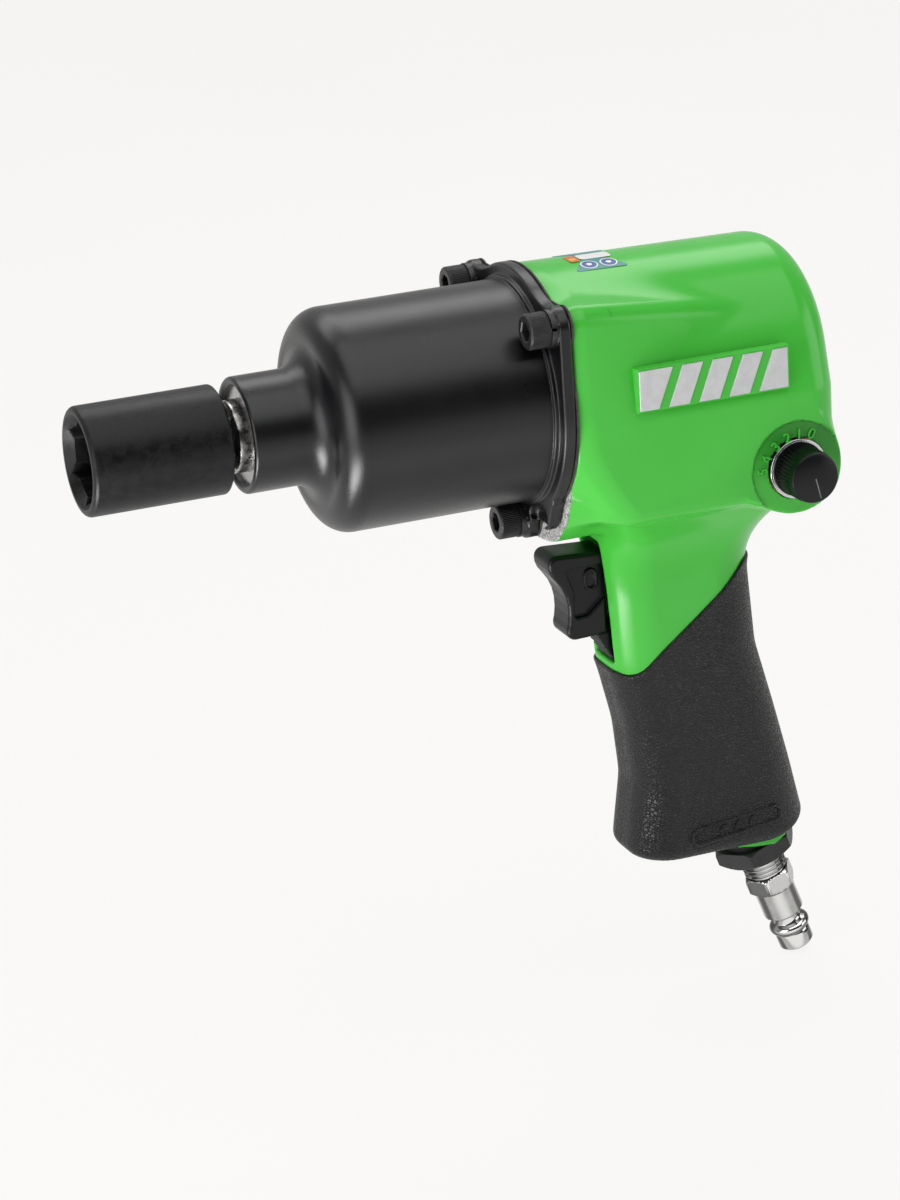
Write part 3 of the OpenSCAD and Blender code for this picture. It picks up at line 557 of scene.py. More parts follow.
def turned(name, parts, angle=32):
    """One piece from several turned shapes: (sections, loop, placement)."""
    points, faces, base = [], [], 0
    for sections, loop, place in parts:
        p, f = spin(sections, loop)
        points.append(placed(p, place))
        faces += [[i + base for i in face] for face in f]
        base += len(p)
    return tidy_normals(add_mesh(name, np.concatenate(points), faces), angle)


def flats(count, width, turn=0.0):
    """Radius of a regular polygon around a turn, from its width across flats."""
    part = 2 * math.pi / count
    offset = (TURN - turn + part / 2) % part - part / 2
    return width / 2 / np.cos(offset)


def rounded(t0, r0, radius, start, end, steps=5):
    """Sections along an arc; angles are measured from the outward direction towards rearward."""
    angles = np.radians(np.linspace(start, end, steps + 1))
    return [(t0 + radius * math.sin(a), r0 + radius * math.cos(a)) for a in angles]


def join_pieces(main, others):
    """Puts several meshes into one piece, keeping their materials."""
    bpy.ops.object.select_all(action="DESELECT")
    for o in others:
        o.select_set(True)
    main.select_set(True)
    bpy.context.view_layer.objects.active = main
    bpy.ops.object.join()
    return main


# ---- Materials ----

class Look:
    """A node material built step by step; lengths in its textures are millimetres."""

    def __init__(self, name):
        self.material = bpy.data.materials.new(name)
        self.material.use_nodes = True
        self.tree = self.material.node_tree
        self.tree.nodes.clear()
        self.out = self.node("ShaderNodeOutputMaterial")
        self.body = self.node("ShaderNodeBsdfPrincipled")
        self.link(self.body, "BSDF", self.out, "Surface")
        place = self.node("ShaderNodeTexCoord")
        scale = self.node("ShaderNodeVectorMath", operation="SCALE")
        scale.inputs["Scale"].default_value = 1 / MM
        self.link(place, "Object", scale, 0)
        self.where = scale.outputs[0]
        parts = self.node("ShaderNodeSeparateXYZ")
        self.tree.links.new(self.where, parts.inputs[0])
        self.x, self.y, self.z = parts.outputs

    def node(self, kind, **options):
        made = self.tree.nodes.new(kind)
        for key, value in options.items():
            setattr(made, key, value)
        return made

    def link(self, a, out, b, into):
        self.tree.links.new(a.outputs[out], b.inputs[into])

    def feed(self, socket, value):
        if isinstance(value, bpy.types.NodeSocket):
            self.tree.links.new(value, socket)
        else:
            socket.default_value = value

    def math(self, operation, a, b=0.0):
        made = self.node("ShaderNodeMath", operation=operation)
        self.feed(made.inputs[0], a)
        self.feed(made.inputs[1], b)
        return made.outputs[0]

    def step(self, value, low, high, to_low=0.0, to_high=1.0):
        """Smooth change from to_low to to_high as value goes from low to high."""
        made = self.node("ShaderNodeMapRange", interpolation_type="SMOOTHSTEP")
        self.feed(made.inputs["Value"], value)
        for key, number in (("From Min", low), ("From Max", high), ("To Min", to_low), ("To Max", to_high)):
            made.inputs[key].default_value = number
        return made.outputs["Result"]

    def stretch(self, sx, sy, sz):
        made = self.node("ShaderNodeVectorMath", operation="MULTIPLY")
        self.tree.links.new(self.where, made.inputs[0])
        made.inputs[1].default_value = (sx, sy, sz)
        return made.outputs[0]

    def noise(self, per_mm, detail=3.0, rough=0.55, vector=None, distortion=0.0):
        made = self.node("ShaderNodeTexNoise")
        self.tree.links.new(vector or self.where, made.inputs["Vector"])
        made.inputs["Scale"].default_value = per_mm
        made.inputs["Detail"].default_value = detail
        made.inputs["Roughness"].default_value = rough
        made.inputs["Distortion"].default_value = distortion
        return made.outputs["Fac"]

    def patches(self, per_mm, detail, low=0.35, high=0.65, *to):
        """Soft-edged patches of noise."""
        return self.step(self.noise(per_mm, detail), low, high, *to)

    def cell_edges(self, per_mm, vector):
        """Distance from the borders of irregular cells."""
        made = self.node("ShaderNodeTexVoronoi", feature="DISTANCE_TO_EDGE")
        self.tree.links.new(vector, made.inputs["Vector"])
        made.inputs["Scale"].default_value = per_mm
        return made.outputs["Distance"]

    def blend(self, share, a, b):
        made = self.node("ShaderNodeMix", data_type="RGBA")
        self.feed(made.inputs[0], share)
        for socket, colour in ((made.inputs[6], a), (made.inputs[7], b)):
            if isinstance(colour, bpy.types.NodeSocket):
                self.tree.links.new(colour, socket)
            else:
                socket.default_value = (*colour, 1)
        return made.outputs[2]

    def bump(self, height, depth, strength=1.0, normal=None):
        """Relief of depth millimetres for a height that runs from 0 to 1."""
        made = self.node("ShaderNodeBump")
        made.inputs["Strength"].default_value = strength
        made.inputs["Distance"].default_value = depth * MM
        self.feed(made.inputs["Height"], height)
        if normal is not None:
            self.feed(made.inputs["Normal"], normal)
        return made.outputs["Normal"]

    def soft_edges(self, radius):
        made = self.node("ShaderNodeBevel", samples=4)
        made.inputs["Radius"].default_value = radius * MM
        return made.outputs["Normal"]

    def set(self, **values):
        names = {"colour": "Base Color", "metal": "Metallic", "rough": "Roughness", "normal": "Normal",
                 "coat": "Coat Weight", "coat_rough": "Coat Roughness", "shine": "Specular IOR Level",
                 "sheen": "Sheen Weight", "coat_normal": "Coat Normal"}
        for key, value in values.items():
            if key == "colour" and not isinstance(value, bpy.types.NodeSocket):
                value = (*value, 1)
            self.feed(self.body.inputs[names[key]], value)
        return self.material


def worn(name, low, high, rough, metal=0.0, grain=6.0, depth=0.01, patch=0.08, edge=0.15, **more):
    """General finish: two close tones in patches, fine grain, softened edges."""
    look = Look(name)
    patches = look.patches(patch, 4.0)
    fine = look.noise(grain, 3.0)
    colour = look.blend(patches, low, high)
    rough_map = look.patches(patch * 3, 3.0, 0.3, 0.7, *rough)
    normal = look.bump(fine, depth, 1.0, look.soft_edges(edge) if edge else None)
    return look.set(colour=colour, rough=rough_map, metal=metal, normal=normal, **more)


def turned_metal(name, low, high, rough, rings=5.0, depth=0.006, edge=0.12):
    """Metal with fine lathe lines across the drive axis."""
    look = Look(name)
    lines = look.noise(rings, 2.0, vector=look.stretch(1.0, 0.03, 0.03))
    patches = look.patches(0.12, 4.0)
    colour = look.blend(patches, low, high)
    rough_map = look.step(lines, 0.3, 0.7, *rough)
    normal = look.bump(lines, depth, 1.0, look.soft_edges(edge))
    return look.set(colour=colour, rough=rough_map, metal=1.0, normal=normal)


def green_paint():
    look = Look("housing_green")
    tone = look.patches(0.03, 3.0, 0.3, 0.7)
    paint = look.blend(tone, (0.061, 0.492, 0.048), (0.069, 0.52, 0.055))
    # Painted shade in the pocket round each valve, deepest towards the top and the rear.
    dx = look.math("SUBTRACT", look.x, VALVE[0])
    dz = look.math("SUBTRACT", look.z, VALVE[1])
    span = look.math("SQRT", look.math("ADD", look.math("MULTIPLY", dx, dx), look.math("MULTIPLY", dz, dz)))
    side = look.math("ABSOLUTE", look.y)
    dial_shade_mask = look.math("MULTIPLY", look.step(span, 13.75, 13.35), look.step(side, 33.0, 34.0))
    # Raised digits are left out of the painted shade and keep the body's colour.
    raised = look.step(side, 34.66, 34.84)
    dial_shade_mask = look.math("MULTIPLY", dial_shade_mask, look.step(raised, 0.0, 1.0, 1.0, 0.0))
    shade_direction = look.math("SUBTRACT", look.z, look.math("MULTIPLY", look.x, -0.35))
    shade = look.step(shade_direction, 19.0, 37.0, 0.05, 0.85)
    paint = look.blend(look.math("MULTIPLY", dial_shade_mask, shade), paint, (0.022, 0.22, 0.02))
    # Bare rough metal at the lower flange joint.
    ragged = look.math("ADD", look.x, look.math("MULTIPLY", look.noise(0.9, 5.0), 1.6))
    at_face = look.step(ragged, 86.45, 86.15)
    low_down = look.step(look.z, -14.0, -27.0)
    bare = look.math("MULTIPLY", at_face, low_down)
    flecks = look.patches(1.9, 4.0, 0.42, 0.58)
    metal = look.blend(flecks, (0.17, 0.17, 0.17), (0.6, 0.6, 0.59))
    colour = look.blend(bare, paint, metal)
    peel = look.noise(0.5, 2.0)
    grit = look.math("MULTIPLY", look.noise(3.0, 4.0), bare)
    relief = look.bump(grit, 0.35, 1.0, look.bump(peel, 0.012))
    rough = look.step(bare, 0.0, 1.0, 0.22, 0.6)
    shine = look.step(bare, 0.0, 1.0, 0.36, 0.5)
    return look.set(colour=colour, rough=rough, normal=relief, shine=shine)


def black_case():
    look = Look("case_black")
    grain = look.noise(5.5, 3.0, 0.6)
    broad = look.noise(0.06, 3.0)
    colour = look.blend(look.step(broad, 0.35, 0.65), (0.0012, 0.0012, 0.0019), (0.0024, 0.0024, 0.0033))
    colour = look.blend(look.step(grain, 0.62, 0.78, 0.0, 0.5), colour, (0.01, 0.01, 0.011))
    rough = look.step(broad, 0.3, 0.7, 0.27, 0.31)
    return look.set(colour=colour, rough=rough, shine=0.53, normal=look.bump(grain, 0.03))


def black_socket():
    look = Look("socket_black")
    mottle = look.noise(0.35, 6.0, 0.65, distortion=0.6)
    colour = look.blend(look.step(mottle, 0.38, 0.62), (0.0015, 0.0015, 0.002), (0.006, 0.006, 0.0065))
    rough = look.step(mottle, 0.3, 0.7, 0.34, 0.46)
    grain = look.noise(3.2, 5.0, 0.6)
    return look.set(colour=colour, rough=rough, metal=0.0, shine=0.3,
                    normal=look.bump(grain, 0.035, 1.0, look.bump(mottle, 0.05)))


def leather_rubber():
    look = Look("grip_rubber")
    # Warped cells, wider than tall, leave the grain's wrinkles between them.
    warp = look.node("ShaderNodeTexNoise")
    look.tree.links.new(look.where, warp.inputs["Vector"])
    warp.inputs["Scale"].default_value = 0.7
    warp.inputs["Detail"].default_value = 3.0
    shift = look.node("ShaderNodeVectorMath", operation="MULTIPLY_ADD")
    look.link(warp, "Color", shift, 0)
    shift.inputs[1].default_value = (1.6, 1.6, 1.6)
    look.tree.links.new(look.where, shift.inputs[2])
    squash = look.node("ShaderNodeVectorMath", operation="MULTIPLY")
    look.link(shift, 0, squash, 0)
    squash.inputs[1].default_value = (0.75, 0.75, 1.35)
    skin = look.cell_edges(1.0, squash.outputs[0])
    creases = look.step(skin, 0.0, 0.22)
    pores = look.noise(4.0, 3.0)
    # Mould parting line along the middle.
    seam = look.step(look.math("ABSOLUTE", look.y), 0.5, 0.3)
    tone = look.patches(0.05, 3.0)
    colour = look.blend(tone, (0.0025, 0.0025, 0.0033), (0.0045, 0.0045, 0.0053))
    # Painted shade: the wrinkles between the cells are coloured darker.
    colour = look.blend(creases, (0.0015, 0.0015, 0.002), colour)
    colour = look.blend(seam, colour, (0.001, 0.001, 0.001))
    relief = look.bump(pores, 0.03, 1.0, look.bump(creases, 0.32))
    relief = look.bump(seam, -0.25, 1.0, relief)
    rough = look.step(creases, 0.0, 1.0, 0.55, 0.33)
    return look.set(colour=colour, rough=rough, normal=relief, shine=0.56)


def moulded_black():
    look = Look("plastic_black")
    grain = look.noise(4.5, 3.0)
    tone = look.patches(0.1, 3.0)
    colour = look.blend(tone, (0.002, 0.0022, 0.0028), (0.0038, 0.004, 0.005))
    rough = look.step(tone, 0.0, 1.0, 0.3, 0.38)
    return look.set(colour=colour, rough=rough, shine=0.3,
                    normal=look.bump(grain, 0.012, 1.0, look.soft_edges(0.25)))


def ground_anvil():
    look = Look("anvil_steel")
    marks = look.noise(2.2, 4.0, vector=look.stretch(0.15, 1.0, 1.0))
    smudge = look.patches(0.45, 5.0, 0.4, 0.62)
    colour = look.blend(smudge, (0.5, 0.49, 0.48), (0.26, 0.25, 0.24))
    rough = look.patches(0.6, 3.0, 0.3, 0.7, 0.2, 0.38)
    return look.set(colour=colour, rough=rough, metal=1.0, normal=look.bump(marks, 0.015))


def nickel():
    look = Look("plug_nickel")
    across = look.stretch(0.347, 0.02, 0.938)
    lines = look.noise(4.0, 2.0, vector=across)
    tone = look.patches(0.3, 3.0)
    # Painted reflection: a painted highlight where the plating faces the camera and a painted dark band
    # either side of it.
    edge = look.node("ShaderNodeLayerWeight")
    edge.inputs["Blend"].default_value = 0.5
    turn = edge.outputs["Facing"]
    middle = look.step(turn, 0.22, 0.12)
    shade = look.math("MULTIPLY", look.step(turn, 0.3, 0.42), look.step(turn, 0.72, 0.6))
    colour = look.blend(tone, (0.46, 0.46, 0.455), (0.54, 0.54, 0.535))
    colour = look.blend(shade, colour, (0.13, 0.13, 0.13))
    colour = look.blend(middle, colour, (0.97, 0.97, 0.965))
    rough = look.step(lines, 0.3, 0.7, 0.07, 0.13)
    return look.set(colour=colour, rough=rough, metal=1.0, normal=look.bump(lines, 0.003))


def milled_face():
    look = Look("bare_aluminium")
    lines = look.noise(3.5, 3.0, vector=look.stretch(1.0, 0.1, 0.12))
    tone = look.patches(0.25, 4.0)
    colour = look.blend(tone, (0.6, 0.605, 0.62), (0.66, 0.665, 0.68))
    rough = look.step(lines, 0.3, 0.7, 0.4, 0.5)
    return look.set(colour=colour, rough=rough, metal=0.55,
                    normal=look.bump(lines, 0.01, 1.0, look.soft_edges(0.2)))


def film(name, colour):
    look = Look(name)
    ink = look.patches(2.5, 3.0, 0.3, 0.7)
    darker = tuple(c * 0.88 for c in colour)
    return look.set(colour=look.blend(ink, darker, colour), rough=look.step(ink, 0, 1, 0.3, 0.38),
                    normal=look.bump(look.noise(1.2, 2.0), 0.01))


def felt():
    look = Look("silencer_felt")
    fibres = look.noise(3.0, 6.0, 0.7, distortion=1.5)
    colour = look.blend(fibres, (0.4, 0.39, 0.35), (0.66, 0.65, 0.6))
    return look.set(colour=colour, rough=0.95, normal=look.bump(fibres, 0.3), sheen=0.3)


def wire_mesh():
    look = Look("screen_wire")
    first = look.math("SINE", look.math("MULTIPLY", look.z, 9.0))
    second = look.math("SINE", look.math("MULTIPLY", look.math("ADD", look.x, look.y), 9.0))
    weave = look.step(look.math("MULTIPLY", first, second), -0.6, 0.6)
    colour = look.blend(weave, (0.3, 0.3, 0.29), (0.7, 0.7, 0.67))
    return look.set(colour=colour, rough=0.35, metal=1.0, normal=look.bump(weave, 0.1))


LOOKS = {
    "socket_black": black_socket(),
    "tool_steel": turned_metal("tool_steel", (0.56, 0.55, 0.54), (0.66, 0.65, 0.64), (0.22, 0.36)),
    "anvil_steel": ground_anvil(),
    "hardened_steel": turned_metal("hardened_steel", (0.24, 0.24, 0.25), (0.36, 0.355, 0.35), (0.3, 0.46)),
    "bearing_steel": turned_metal("bearing_steel", (0.74, 0.74, 0.76), (0.82, 0.82, 0.84), (0.08, 0.16),
                                  7.0, 0.002),
    "case_black": black_case(),
    "screw_black": worn("screw_black", (0.007, 0.007, 0.008), (0.014, 0.014, 0.015), (0.34, 0.46), 0.0,
                        5.0, 0.02, 0.5, 0.12, shine=0.6),
    "gasket_paper": worn("gasket_paper", (0.035, 0.032, 0.03), (0.07, 0.065, 0.06), (0.8, 0.95), 0.0,
                         2.5, 0.06, 0.4, 0.0),
    "housing_green": green_paint(),
    "bare_aluminium": milled_face(),
    "label_film": film("label_teal", (0.03, 0.25, 0.24)),
    "bronze": turned_metal("bronze", (0.5, 0.34, 0.16), (0.62, 0.45, 0.23), (0.28, 0.44), 4.0),
    "brass": turned_metal("brass", (0.66, 0.5, 0.22), (0.76, 0.6, 0.3), (0.18, 0.32), 5.0),
    "vane_plastic": worn("vane_plastic", (0.24, 0.13, 0.06), (0.36, 0.21, 0.11), (0.45, 0.65), 0.0,
                         2.0, 0.04, 0.6),
    "seal_rubber": worn("seal_rubber", (0.008, 0.008, 0.008), (0.016, 0.016, 0.016), (0.5, 0.62), 0.0,
                        4.0, 0.02),
    "plastic_black": moulded_black(),
    "plug_nickel": nickel(),
    "screen_wire": wire_mesh(),
    "silencer_felt": felt(),
    "grip_rubber": leather_rubber(),
    "spring_steel": turned_metal("spring_steel", (0.52, 0.52, 0.53), (0.68, 0.68, 0.7), (0.16, 0.28),
                                 6.0, 0.003),
}


# ---- Pieces that stand for the parts seen from outside ----

def finish(obj, body, slot, *nodes):
    """Gives a piece its body and, if it has no material yet, the material named by slot, and hides the CAD
    nodes that it stands for.
    """
    if not obj.data.materials:
        obj.data.materials.append(LOOKS[slot])
    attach(obj, body)
    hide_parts(*nodes)
    return obj


def dial_digits():
    """Raised digits round the regulator, their tops outward."""
    made = []
    for digit, x, z in (("5", 139.2, -24.2), ("4", 140.6, -20.9), ("3", 143.4, -17.8),
                        ("2", 146.9, -15.9), ("1", 150.5, -15.2), ("0", 154.2, -15.8)):
        text = bpy.data.curves.new("digit" + digit, "FONT")
        text.body = digit
        text.size = 4.3 * MM
        text.extrude = 0.5 * MM
        text.align_x = "CENTER"
        text.align_y = "CENTER"
        holder = bpy.data.objects.new("digit" + digit, text)
        bpy.context.scene.collection.objects.link(holder)
        bpy.context.view_layer.update()
        mesh = bpy.data.meshes.new_from_object(holder.evaluated_get(bpy.context.evaluated_depsgraph_get()))
        bpy.data.objects.remove(holder)
        tilt = math.atan2(x - VALVE[0], z - VALVE[1])
        place = (Matrix.Translation(Vector((x, -34.6, z)) * MM)
                 @ Matrix.Rotation(tilt, 4, "Y") @ Matrix.Rotation(math.pi / 2, 4, "X"))
        mesh.transform(place)
        obj = bpy.data.objects.new("dial_digit_" + digit, mesh)
        bpy.context.scene.collection.objects.link(obj)
        mesh.materials.clear()
        mesh.materials.append(LOOKS["housing_green"])
        made.append(obj)
    return made


def make_housing():
    step = 0.7
    shell = solid("housing_casting", housing_shape, (84, -37.5, -146), (166, 37.5, 36.5), step)
    shell.data.materials.append(LOOKS["housing_green"])
    join_pieces(shell, dial_digits())
    finish(shell, "tool_body", "housing_green", "housing")


def make_case():
    step = 0.55
    case = solid("hammer_case_casting", case_shape, (-0.8, -44.5, -44.5), (85.4, 44.5, 36.5), step)
    finish(case, "tool_body", "case_black", "hammer_case")


def sweep(points, outward, r, sides=8):
    """A closed tube along a loop of points that lie on a side face."""
    count = len(points)
    ring_points = []
    for i in range(count):
        ahead = points[(i + 1) % count] - points[i - 1]
        ahead /= np.linalg.norm(ahead)
        across = np.cross(ahead, outward)
        for k in range(sides):
            a = 2 * math.pi * k / sides
            ring_points.append(points[i] + r * (math.cos(a) * across + math.sin(a) * outward))
    return ring_points, bands(sides, count, True)


def side_surface(x, z):
    """Place of the grip's left surface at a point seen from the side."""
    y = -GRIP_Y
    for _ in range(12):
        gap = handle_plan(np.array([x]), np.array([y]), np.array([z]))[0]
        y += gap
    return np.array([x, y, z])


def grip_emblem():
    """A plain raised oblong outline with three slanting bars, moulded into the grip's side."""
    a, b = np.array([125.0, -137.0]), np.array([148.6, -134.5])
    along = (b - a) / np.linalg.norm(b - a)
    across = np.array([-along[1], along[0]])
    loop = []
    for centre, start in ((b, -90), (a, 90)):
        for angle in np.radians(np.linspace(start, start + 180, 14)):
            spot = centre + 2.3 * (math.cos(angle) * along + math.sin(angle) * across)
            loop.append(side_surface(*spot))
    outward = np.array([0, -1.0, 0])
    points, faces = sweep(loop, outward, 0.6)
    made = [tidy_normals(add_mesh("emblem_edge", points, faces), 60)]
    for share in (0.3, 0.5, 0.7):
        middle = a + (b - a) * share
        ends = [middle + 1.1 * across + 0.5 * along, middle - 1.1 * across - 0.5 * along]
        bar = []
        for centre, start in ((ends[0], -10), (ends[1], 170)):
            for angle in np.radians(np.linspace(start, start + 180, 6)):
                spot = centre + 0.28 * (math.cos(angle) * along + math.sin(angle) * across)
                bar.append(side_surface(*spot))
        points, faces = sweep(bar, outward, 0.36, 6)
        made.append(tidy_normals(add_mesh("emblem_bar", points, faces), 60))
    for o in made:
        o.data.materials.append(LOOKS["grip_rubber"])
    return made


def make_grip():
    step = 0.6
    grip = solid("grip_rubber_sleeve", sleeve_shape, (101, -17.5, -146), (166, 17.5, -55), step)
    grip.data.materials.append(LOOKS["grip_rubber"])
    join_pieces(grip, grip_emblem())
    finish(grip, "tool_body", "grip_rubber", "grip_sleeve")


def make_trigger():
    step = 0.3
    trigger = solid("trigger_moulding", trigger_shape, (85, -7, -84), (109, 7, -47), step)
    finish(trigger, "trigger_body", "plastic_black", "trigger")


def make_anvil():
    step = 0.45
    anvil = solid("anvil_forging", anvil_shape, (-18.4, -15, -15), (74, 15, 15), step)
    finish(anvil, "anvil_body", "anvil_steel", "anvil")


def make_socket():
    """Six-point socket: hexagon at the front, square drive at the rear."""
    rear, length = -5.4, 39.0
    front = rear - length
    hexagon, square = flats(6, 21.0), flats(4, 12.8)
    outside = [(rear, 14.2)] + rounded(rear - 0.8, 14.2, 0.8, 90, 0, 4)
    outside += [(front + 1.5, 15.0)] + rounded(front + 1.5, 13.5, 1.5, 0, -90, 6)
    inside = []
    for depth in (0.0, 0.5, 1.0, 1.5, 2.0, 2.6):
        inside.append((front + depth, np.maximum(hexagon, 12.9 - 0.8 * depth)))
    inside += [(front + 19.6, hexagon), (front + 20, 8.0), (front + 24, 8.0), (front + 24.01, square),
               (rear - 0.5, square), (rear, square + 0.4)]
    socket = turned("impact_socket_forging", [(outside + inside, True, drive_axis())], 28)
    finish(socket, "socket_body", "socket_black", "impact_socket")


def make_screws():
    """Knurled cap screws with a hexagon recess."""
    knurl = 5.0 - 0.11 * (1 + np.cos(60 * TURN))
    hexagon = flats(6, 5.0)
    front, parts = 73.4, []
    for direction in SCREW_DIRS:
        a = math.radians(direction)
        place = drive_axis(SCREW_PCD_R * math.cos(a), SCREW_PCD_R * math.sin(a), a)
        head = [(front + 3.2, 0.01), (front + 3.2, hexagon * 0.98), (front + 0.35, hexagon),
                (front, hexagon + 0.3), (front, 4.35), (front + 0.25, 4.75), (front + 0.55, knurl),
                (front + 5.4, knurl), (front + 5.75, 4.8), (front + 6, 4.7), (front + 6, 3.0),
                (front + 22.6, 3.0), (front + 23, 2.6)]
        parts.append((head, False, place))
    screws = turned("case_cap_screws", parts, 25)
    finish(screws, "tool_body", "screw_black", "case_screws")


def make_knob():
    """Ridged knob with a pointer line and the bright ring behind it."""
    ridges = 7.35 - 0.38 * np.abs(np.sin(22.5 * TURN))
    outer = [(-0.9, 7.7), (-0.1, 7.7), (0, 6.9), (0.25, ridges), (7.9, ridges), (8.2, 7.1), (9.3, 7.1),
             (9.75, 6.85), (10, 6.4), (10, 0.01)]
    inner = [(3.2, 0.01), (3.2, 3.0), (-0.9, 3.0)]
    knob = turned("regulator_knob_knurled", [(inner + outer, False, left_of(VALVE, -36.0))], 30)
    knob.data.materials.append(LOOKS["plastic_black"])
    pointer = np.array([(-0.16, 0), (0.16, 0), (0.16, -6.0), (-0.16, -6.0)])
    lean = math.radians(14)
    turn = np.array([(math.cos(lean), -math.sin(lean)), (math.sin(lean), math.cos(lean))])
    flat = pointer @ turn.T
    spots = [(VALVE[0] + u, -46.0 - h, VALVE[1] + v) for h in (-0.2, 0.05) for u, v in flat]
    faces = [[4, 5, 6, 7], [0, 3, 2, 1], [0, 1, 5, 4], [1, 2, 6, 5], [2, 3, 7, 6], [3, 0, 4, 7]]
    line = tidy_normals(add_mesh("pointer", spots, faces))
    line.data.materials.append(worn("pointer_grey", (0.1, 0.1, 0.1), (0.2, 0.2, 0.2), (0.4, 0.6)))
    rim = [(0, 7.75), (0.4, 7.75), (0.5, 7.85), (0.5, 8.4), (0.4, 8.5), (0, 8.5)]
    ring = turned("knob_ring", [(rim, True, left_of(VALVE, -35.1))], 30)
    ring.data.materials.append(LOOKS["spring_steel"])
    join_pieces(knob, [line, ring])
    finish(knob, "regulator_body", "plastic_black", "regulator_knob")


def make_bushing():
    """Hexagon with chamfered corners."""
    hexagon = flats(6, 22.0, math.radians(30))
    sections = [(7.2, 6.6), (7.2, 10.4)]
    for t in np.linspace(7.25, 8.9, 7):
        sections.append((t, np.minimum(hexagon, 10.5 + 1.35 * (t - 7.2))))
    for t in np.linspace(12.0, 13.15, 5):
        sections.append((t, np.minimum(hexagon, 11.4 + 1.2 * (13.2 - t))))
    sections += [(13.2, 9.45), (27.1, 9.45), (27.1, 7.6), (24, 7.6), (24, 5.4), (17, 5.4), (17, 6.6)]
    bushing = turned("inlet_bushing_hex", [(sections, True, inlet_axis())], 24)
    finish(bushing, "tool_body", "screw_black", "inlet_bushing")


def make_plug():
    """Nipple with a retaining groove, hexagon and thread, turned about the inlet axis."""
    hexagon = flats(6, 13.0, math.radians(30))
    sections = [(-27.3, 3.7), (-27.3, 4.3), (-27.0, 4.7), (-26.4, 5.2), (-22.4, 5.2), (-21.9, 5.0)]
    sections += rounded(-20.1, 4.6, 1.5, -70, 70, 10)
    sections += [(-18.3, 4.2), (-17.9, 4.0), (-16.4, 4.0), (-16.1, 4.2), (-15.2, 5.7), (-14.9, 6.0),
                 (-6.3, 6.0), (-6.1, 5.8)]
    for t in np.linspace(-5.8, -5.0, 4):
        sections.append((t, np.minimum(hexagon, 6.5 + 1.3 * (t + 5.8))))
    for t in np.linspace(-1.0, -0.2, 4):
        sections.append((t, np.minimum(hexagon, 6.5 + 1.3 * (-0.2 - t))))
    sections.append((-0.15, 5.8))
    t = 0.2
    while t < 14.5:
        sections += [(t, 5.75), (t + 0.45, 6.5), (t + 0.62, 6.5), (t + 1.1, 5.75)]
        t += 1.34
    sections += [(16.6, 5.6), (16.6, 3.7)]
    plug = turned("air_plug_turned", [(sections, True, inlet_axis())], 28)
    finish(plug, "tool_body", "plug_nickel", "air_plug")


def prism(outline_points, y_back, y_front, bevel):
    """A plate on the left side from an outline of (x, z) points, its front edge bevelled."""
    count = len(outline_points)
    flat = np.array(outline_points, float)
    middle = flat.mean(0)
    shrunk = middle + (flat - middle) * (1 - bevel / np.linalg.norm(flat - middle, axis=1))[:, None]
    spots = []
    for y, ring in ((y_back, flat), (y_front + bevel * 0.5, flat), (y_front, shrunk)):
        spots += [(u, y, v) for u, v in ring]
    faces = [list(range(count)), list(range(2 * count, 3 * count))[::-1]]
    return spots, faces + bands(count, 3)


def make_badge():
    """Raised plate with slanting painted grooves between bare metal facets."""
    low, high, left, right = -1.2, 11.1, 102.0, 147.5
    lean = math.tan(math.radians(20))
    spots, faces = prism([(left, low), (right, low), (right, high), (left, high)], -33.2, -36.05, 0.4)
    badge = tidy_normals(add_mesh("side_badge_plate", spots, faces), 20)
    badge.data.materials.append(LOOKS["housing_green"])
    inset = 0.6
    starts = [left + inset] + [111.2 + 9 * i for i in range(4)]
    ends = [108.2 + 9 * i for i in range(4)] + [right - inset]
    facets = []
    for i, (a, b) in enumerate(zip(starts, ends)):
        tilt_a = 0 if i == 0 else lean * 12
        tilt_b = 0 if i == 4 else lean * 12
        corners = [(a, low + inset), (b, low + inset), (b + tilt_b, high - inset), (a + tilt_a, high - inset)]
        p, f = prism(corners, -36.0, -36.6, 0.25)
        facet = tidy_normals(add_mesh("badge_facet", p, f), 20)
        facet.data.materials.append(LOOKS["bare_aluminium"])
        facets.append(facet)
    join_pieces(badge, facets)
    finish(badge, "tool_body", "bare_aluminium", "side_badge")


def film_patch(name, shape, lift, material):
    """A thin curved patch on top of the barrel from an outline of (x, arc length) points."""
    flat = np.array(shape, float)
    middle = flat.mean(0)
    spots, count, rings = [], len(flat), 9
    for ring in np.linspace(1, 0.08, rings):
        for u, s in middle + (flat - middle) * ring:
            r = top_radius(u) + lift
            spots.append((u, -r * math.sin(s / 34), r * math.cos(s / 34)))
    faces = bands(count, rings)
    faces.append([(rings - 1) * count + i for i in range(count)])
    made = add_mesh(name, spots, faces)
    tidy_normals(made, 40)
    if sum(p.normal.z for p in made.data.polygons) < 0:
        made.data.flip_normals()
    made.data.materials.append(material)
    return made


def oblong(x0, x1, s0, s1, r, steps=5):
    """Outline of a rectangle with round corners."""
    corners = ((x1 - r, s1 - r, 0), (x0 + r, s1 - r, 90), (x0 + r, s0 + r, 180), (x1 - r, s0 + r, 270))
    points = []
    for cx, cs, start in corners:
        points += arc((cx, cs), r, start, start + 90, steps)
    return points


